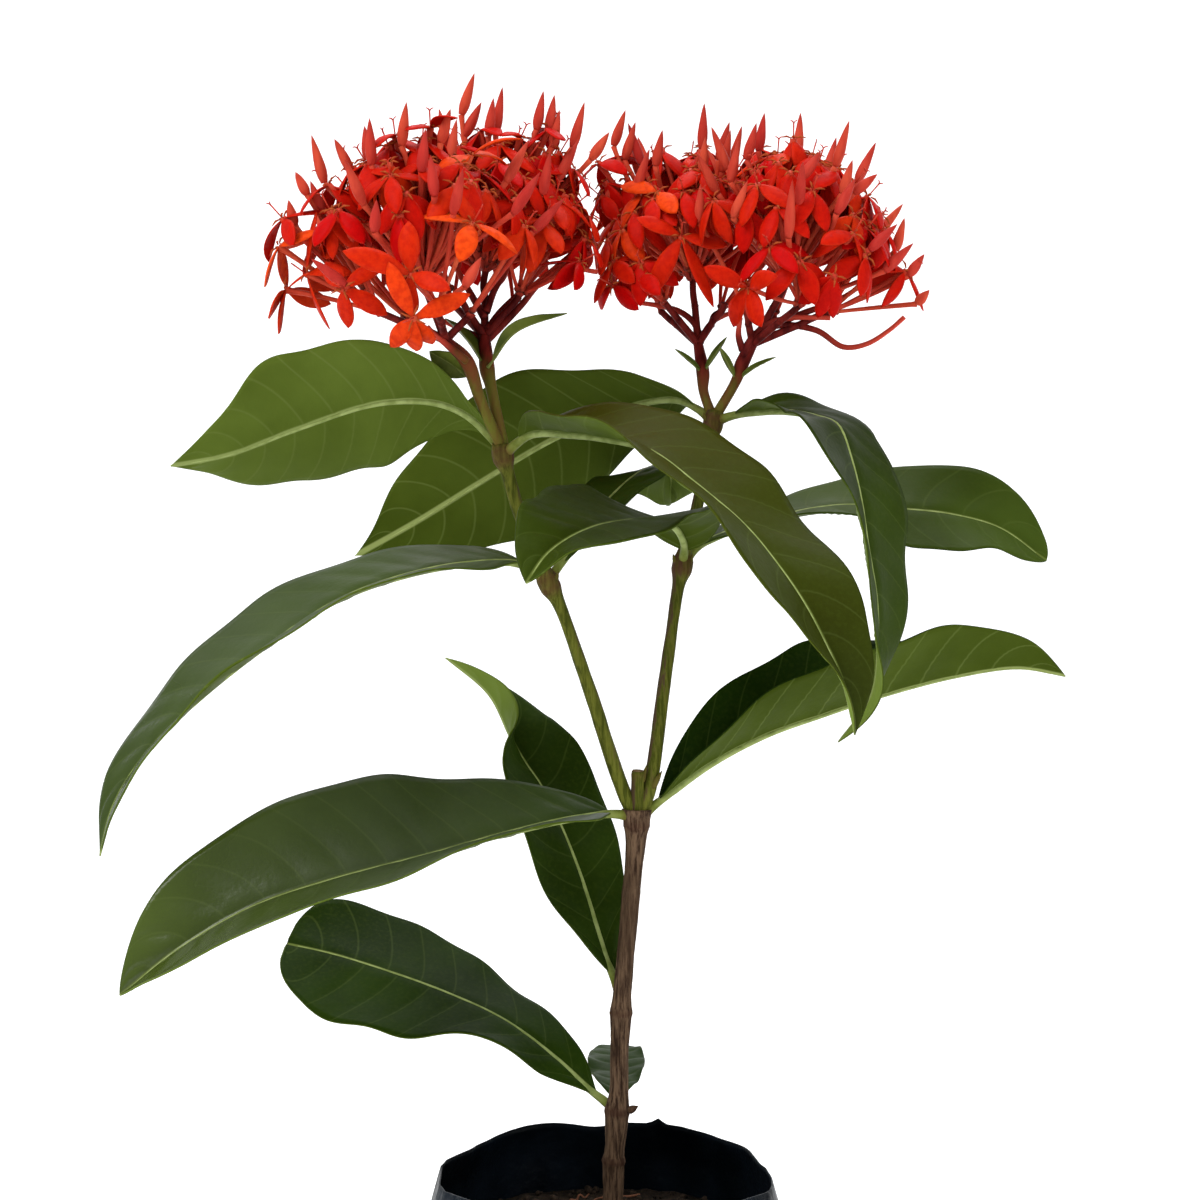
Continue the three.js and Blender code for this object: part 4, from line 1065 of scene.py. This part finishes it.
def head_florets(heads, rng):
    """Every floret of every head: those listed, then fillers spread evenly over the domes."""
    florets = {name: [] for name in heads}
    for pixel, tips, tone in FLOWERS:
        name, throat = nearest_head(heads, pixel)
        florets[name].append(dict(throat=throat, pixels=tips, tone=tone))
    for tip, joint in BUDS:
        name, throat = nearest_head(heads, joint)
        place = EYE + sight_line(tip) * np.linalg.norm(throat - EYE)
        florets[name].append(dict(throat=throat, bud=place, tone=rng.uniform(*BUD_TONES)))
    for name, (_, centre, _) in heads.items():
        taken = [(floret["throat"] - centre) / HEAD_REACH for floret in florets[name]]
        others = [part[1] for other, part in heads.items() if other != name]
        while len(florets[name]) < FLORETS_PER_HEAD:
            tries = []
            while len(tries) < TRIES:
                tilt = math.acos(rng.uniform(math.cos(WIDEST_TILT), 1))
                way = direction(tilt, rng.uniform(0, TAU))
                place = centre + way * HEAD_REACH * rng.uniform(*DOME_DEPTHS)
                if all(np.linalg.norm((place - other) / HEAD_REACH) > CLEARANCE for other in others):
                    tries.append((min(np.linalg.norm(way - old) for old in taken), way, place))
            _, way, throat = max(tries, key=lambda item: item[0])
            taken.append(way)
            floret = dict(throat=throat, tone=float(np.clip(rng.normal(0.12, 0.16), 0, 1)))
            if rng.random() < BUD_SHARE:
                floret["bud"] = throat + unit(way + UP * 0.5) * BUD_LENGTH
                floret["tone"] = rng.uniform(*BUD_TONES)
            florets[name].append(floret)
    return florets


def add_floret(shell, hub, floret, rng):
    throat = floret["throat"]
    away = throat - hub
    distance = np.linalg.norm(away)
    base = throat - away / distance * min(TUBE_LENGTH * rng.uniform(0.93, 1.03), distance - 1.5)
    middle = lerp(hub, base, 0.5) + rng.normal(size=3) * 0.4
    shell.tube([hub, middle, base], [0.8, 0.65, 0.6], 7, TWIG, maroon=[1, 1, 1], blush=[0.1, 0.4, 0.7])
    if "bud" in floret:
        bud_flower(shell, base, throat, floret["bud"], floret["tone"], rng)
        return
    axis = unit(throat - base)
    known = [tip_at(throat, axis, pixel) for pixel in floret.get("pixels", ())]
    facing = axis if known else unit(axis + [0, 0, FLOWER_LIFT])
    open_flower(shell, base, throat, four_tips(throat, facing, known, rng), floret["tone"], rng)


def twig(shell, path, start, end, slot, blush=0.0):
    """A thin branch with a swollen joint, green below and maroon above, that blushes towards its end."""
    rows = smooth_rows(path, len(path) * 7)
    share = np.linspace(0, 1, len(rows))
    radii = lerp(start, end, share) * (1 + 0.12 * np.exp(-((share - 1) / 0.05) ** 2))
    reddened = blush * smoothstep(0.25, 0.9, share)
    shell.tube(rows, radii, 12, slot, maroon=smoothstep(338, 350, rows[:, 2]), blush=reddened)


def build_heads(materials, peduncle):
    rng = np.random.default_rng(SEED)
    heads = {name: head_parts(head) for name, head in HEADS.items()}
    florets = head_florets(heads, rng)
    for name, (fork, centre, cymes) in heads.items():
        shells = {}
        for label, (hub, root) in cymes.items():
            shells[label] = Shell()
            twig(shells[label], [root, lerp(root, hub, 0.5) + rng.normal(size=3) * 0.3, hub], 1.0, 0.95, TWIG)
        for floret in florets[name]:
            way = unit(floret["throat"] - centre)
            label = min(cymes, key=lambda key: -(way @ unit(cymes[key][0] - centre)))
            add_floret(shells[label], cymes[label][0], floret, rng)
        for label, shell in shells.items():
            shell.piece(f"florets_{name}_{label}", materials, "flower", f"cyme_{name}_{label}")

        stalk = Shell()
        rows = smooth_rows(placed(HEADS[name]["stalk"]), 60)
        stalk.tube(rows[:, :3], rows[:, 3], 20, 0, maroon=smoothstep(336, 350, rows[:, 2]))
        for _, root in cymes.values():
            twig(stalk, [fork, lerp(fork, root, 0.5), root], 1.15, 1.0, 0)
        depths = HEADS[name]["stalk"][-1][2], HEADS[name]["middle"][2]
        for pixels in SIDE_TWIGS[name]:
            spots = [
                seen_pixel(*pixel, lerp(*depths, place / (len(pixels) - 1)))
                for place, pixel in enumerate(pixels)
            ]
            twig(stalk, spots, 1.1, 0.6, 0, blush=1.0)
        stalk.piece(f"peduncle_{name}_detail", [peduncle], "peduncle", f"peduncle_{name}")


# ---- bag and potting mix -----------------------------------------------------------------------------

BAG_HEIGHT = 124.5
BAG_LEVELS = [(0, 44), (1.5, 47), (6, 49), (60, 50), (115, 48.3), (BAG_HEIGHT, 45.5)]
BAG_SIDES = 180
FILM = 0.35
SOIL_LEVEL = 105.0
SOIL_RISE = 2.0
RIM_CREASE = 1.22  # radians round the bag
RIM_DIP = 1.63
RIM_WAVES = [(5, 3.6, 0.9), (8, 3.4, 0.6), (13, 1.0, 0.25)]  # waves round the mouth, their turn and height
SOIL_INSET = FILM + 0.5  # half a millimetre inside the film
SOIL_REACH = 43  # how far out crumbs and roots lie
CRUMBS = 420
ROOTS = 26
ROOT_STEPS = 5
CLOSING = [0.2, 0.2, 1]  # draws a ring in towards the middle, where the loft closes it


def bag_rings(levels, inset):
    """Rings of the slack film: folds gather towards the mouth, and the mix presses lumps into its body."""
    angle = angles_round(BAG_SIDES)
    share = np.array(levels)[:, None] / BAG_HEIGHT
    height = np.repeat(np.array(levels)[:, None], BAG_SIDES, axis=1)
    around = np.stack([np.cos(angle), np.sin(angle)], axis=1) * 50
    places = np.concatenate([np.broadcast_to(around, (len(levels), BAG_SIDES, 2)), height[..., None]], axis=2)
    lumps = rough(places, 21, 3.0) * 1.1 + rough(places, 8, 5.0) * 0.4
    folds = 1 - np.abs(rough(places * [1, 1, 0.22], 9, 8.0)) * 3.2
    mouth = smoothstep(0.8, 1.0, share)
    waves = sum(rise * np.sin(count * angle + turn) for count, turn, rise in RIM_WAVES)
    foot = smoothstep(0.0, 0.05, share)
    radii = np.interp(height, *zip(*BAG_LEVELS))
    radii = radii + foot * (lumps * (1 - 0.6 * mouth) - 0.5 + 0.45 * np.clip(folds, 0, 1))
    radii = radii + mouth * waves[None]
    crease = np.exp(-((angle - RIM_CREASE) / 0.035) ** 2)[None] * mouth
    radii = radii + crease * 1.3 - inset
    dip = np.exp(-((angle - RIM_DIP) / 0.14) ** 2)
    lift = mouth ** 2 * (0.6 - 0.8 * np.cos(2 * angle) + 0.3 * np.sin(7 * angle) - dip)[None] + crease * 1.2
    return np.stack([radii * np.cos(angle), radii * np.sin(angle), height + lift], axis=2)


def build_bag(film):
    shell = Shell()
    outside = bag_rings([0, 0.5, 1.5, 3, 4.5, 6, *np.linspace(8, BAG_HEIGHT, 76)], 0.0)
    inside = bag_rings([*np.linspace(BAG_HEIGHT, 8, 60), 4, 1.2], FILM)
    shell.loft(np.concatenate([outside[:1] * CLOSING, outside, inside, inside[-1:] * CLOSING]))
    shell.piece("grow_bag_film", [film], "bag_film", "grow_bag")


def build_soil(soil, root):
    """Lumpy potting mix with loose crumbs and a few fine roots on top."""
    rng = np.random.default_rng(SEED + 1)
    shell = Shell()
    walls = bag_rings([2, 4, *np.linspace(6, SOIL_LEVEL, 48)], SOIL_INSET)
    tops = []
    for share in np.linspace(1, 0.02, 46)[1:]:
        ring = walls[-1] * [share, share, 1]
        ring[:, 2] = SOIL_LEVEL + SOIL_RISE * (1 - share ** 2)
        tops.append(ring)
    tops = np.array(tops)
    tops[..., 2] += 1.3 * rough(tops, 9, 2.0) + 0.8 * rough(tops, 3.5, 4.0) + 0.4 * rough(tops, 1.6, 6.0)
    shell.loft(np.concatenate([walls[:1] * CLOSING, walls, tops]))
    for _ in range(CRUMBS):
        turn, reach = rng.uniform(0, TAU), SOIL_REACH * math.sqrt(rng.uniform(0.02, 1))
        size = rng.uniform(0.5, 1.9) * rng.uniform(0.5, 1)
        middle = np.array([reach * math.cos(turn), reach * math.sin(turn), SOIL_LEVEL + 1.5 + size * 0.2])
        way = unit(rng.normal(size=3)) * size
        path = [middle - way, middle - way * 0.3, middle + way * 0.4, middle + way]
        radii = np.array([0.35, 0.95, 0.85, 0.3])[:, None] * size * rng.uniform(0.7, 1.2, (4, 7))
        shell.tube(path, radii, 7)
    for _ in range(ROOTS):
        turn, reach = rng.uniform(0, TAU), rng.uniform(8, 38)
        start = np.array([reach * math.cos(turn), reach * math.sin(turn), SOIL_LEVEL + 2.0])
        way = unit(np.array([*rng.normal(size=2), 0.0])) * rng.uniform(2, 4)
        path = [start]
        for _ in range(ROOT_STEPS):
            way = way + np.array([*rng.normal(size=2), 0.0]) * 1.1
            path.append(path[-1] + way)
        path = np.array(path)
        path[:, 2] += rng.uniform(-0.4, 1.2, len(path))
        inside = np.linalg.norm(path[:, :2], axis=1) < SOIL_REACH
        if inside.all():
            rows = smooth_rows(path, 22)
            shell.tube(rows, np.linspace(0.4, 0.2, len(rows)), 6, 1)
    shell.piece("potting_mix_detail", [soil, root], "soil", "soil")


# ---- studio ------------------------------------------------------------------------------------------

# The floor in metres: where it starts and where its sweep up into the backdrop does, half its width, the
# sweep's radius and the backdrop's top.
FLOOR_FRONT = -3.0
FLOOR_BACK = 1.2
FLOOR_HALF_WIDTH = 4.0
SWEEP = 0.8
BACKDROP_TOP = 4.0

# Lights in metres: name, place, size and watts. They face LIGHT_AIM.
LIGHT_AIM = Vector((0, 0, 0.28))
LIGHTS = [
    ("key", (-0.9, -0.9, 1.5), 1.1, 26),
    ("fill", (1.2, -1.0, 0.6), 1.2, 7),
    ("top", (0.1, 0.4, 1.6), 1.0, 12),
]


def build_studio():
    """Pale floor that sweeps up into a backdrop, soft lights, and the camera."""
    floor_look = Look("backdrop", Roughness=0.9, Specular_IOR_Level=0.0)
    floor_look.shader.inputs["Base Color"].default_value = (0.9, 0.9, 0.9, 1)
    floor_look.shader.inputs["Emission Color"].default_value = (1, 1, 1, 1)
    floor_look.shader.inputs["Emission Strength"].default_value = 0.35
    profile = [(FLOOR_FRONT, 0.0), (FLOOR_BACK, 0.0)]
    for angle in np.linspace(0.1, math.pi / 2, 14):
        profile.append((FLOOR_BACK + SWEEP * math.sin(angle), SWEEP - SWEEP * math.cos(angle)))
    profile.append((FLOOR_BACK + SWEEP, BACKDROP_TOP))
    points = [(side * FLOOR_HALF_WIDTH, y, z) for y, z in profile for side in (-1, 1)]
    faces = [(2 * i, 2 * i + 1, 2 * i + 3, 2 * i + 2) for i in range(len(profile) - 1)]
    mesh = bpy.data.meshes.new("floor")
    mesh.from_pydata(points, [], faces)
    mesh.shade_smooth()
    mesh.materials.append(floor_look.material)
    floor = bpy.data.objects.new("floor", mesh)
    bpy.context.scene.collection.objects.link(floor)

    world = bpy.data.worlds.new("studio")
    world.use_nodes = True
    world.node_tree.nodes["Background"].inputs["Color"].default_value = (0.93, 0.96, 1.0, 1)
    world.node_tree.nodes["Background"].inputs["Strength"].default_value = 0.55
    bpy.context.scene.world = world

    for name, place, size, power in LIGHTS:
        light = bpy.data.lights.new(name, "AREA")
        light.energy = power
        light.size = size
        lamp = bpy.data.objects.new(name, light)
        lamp.location = place
        lamp.rotation_euler = (LIGHT_AIM - Vector(place)).to_track_quat("-Z", "Y").to_euler()
        bpy.context.scene.collection.objects.link(lamp)

    camera = bpy.data.objects.new("camera", bpy.data.cameras.new("camera"))
    camera.data.sensor_width = SENSOR_WIDTH
    camera.data.lens = SENSOR_WIDTH * -EYE[1] / FRAME_WIDTH
    camera.location = EYE * MM
    camera.rotation_euler = (math.pi / 2, 0, 0)
    bpy.context.scene.collection.objects.link(camera)
    bpy.context.scene.camera = camera
    bpy.context.scene.view_settings.view_transform = "Standard"


# ---- the whole ---------------------------------------------------------------------------------------

build_studio()
build_stems(bark_look(), green_bark_look(), cut_look())
satin_leaf = leaf_upper("leaf_satin", 0.03, 0.4, 0.4)
glossy_leaf = leaf_upper("leaf_glossy", 0.3, 0.44, 0.16)
build_leaves(satin_leaf, glossy_leaf, leaf_lower(), leaf_rib(), bract_look())
maroon = peduncle_look()
flower_materials = [
    tube_look(),
    petal_look("petal_inside", (0.44, 0.001, 0.001), (0.72, 0.060, 0.005), 0.45),
    petal_look("petal_outside", (0.37, 0.003, 0.002), (0.64, 0.075, 0.012), 0.5),
    bud_look(),
    anther_look(),
    maroon,
]
build_heads(flower_materials, maroon)
build_bag(film_look())
build_soil(soil_look(), root_look())
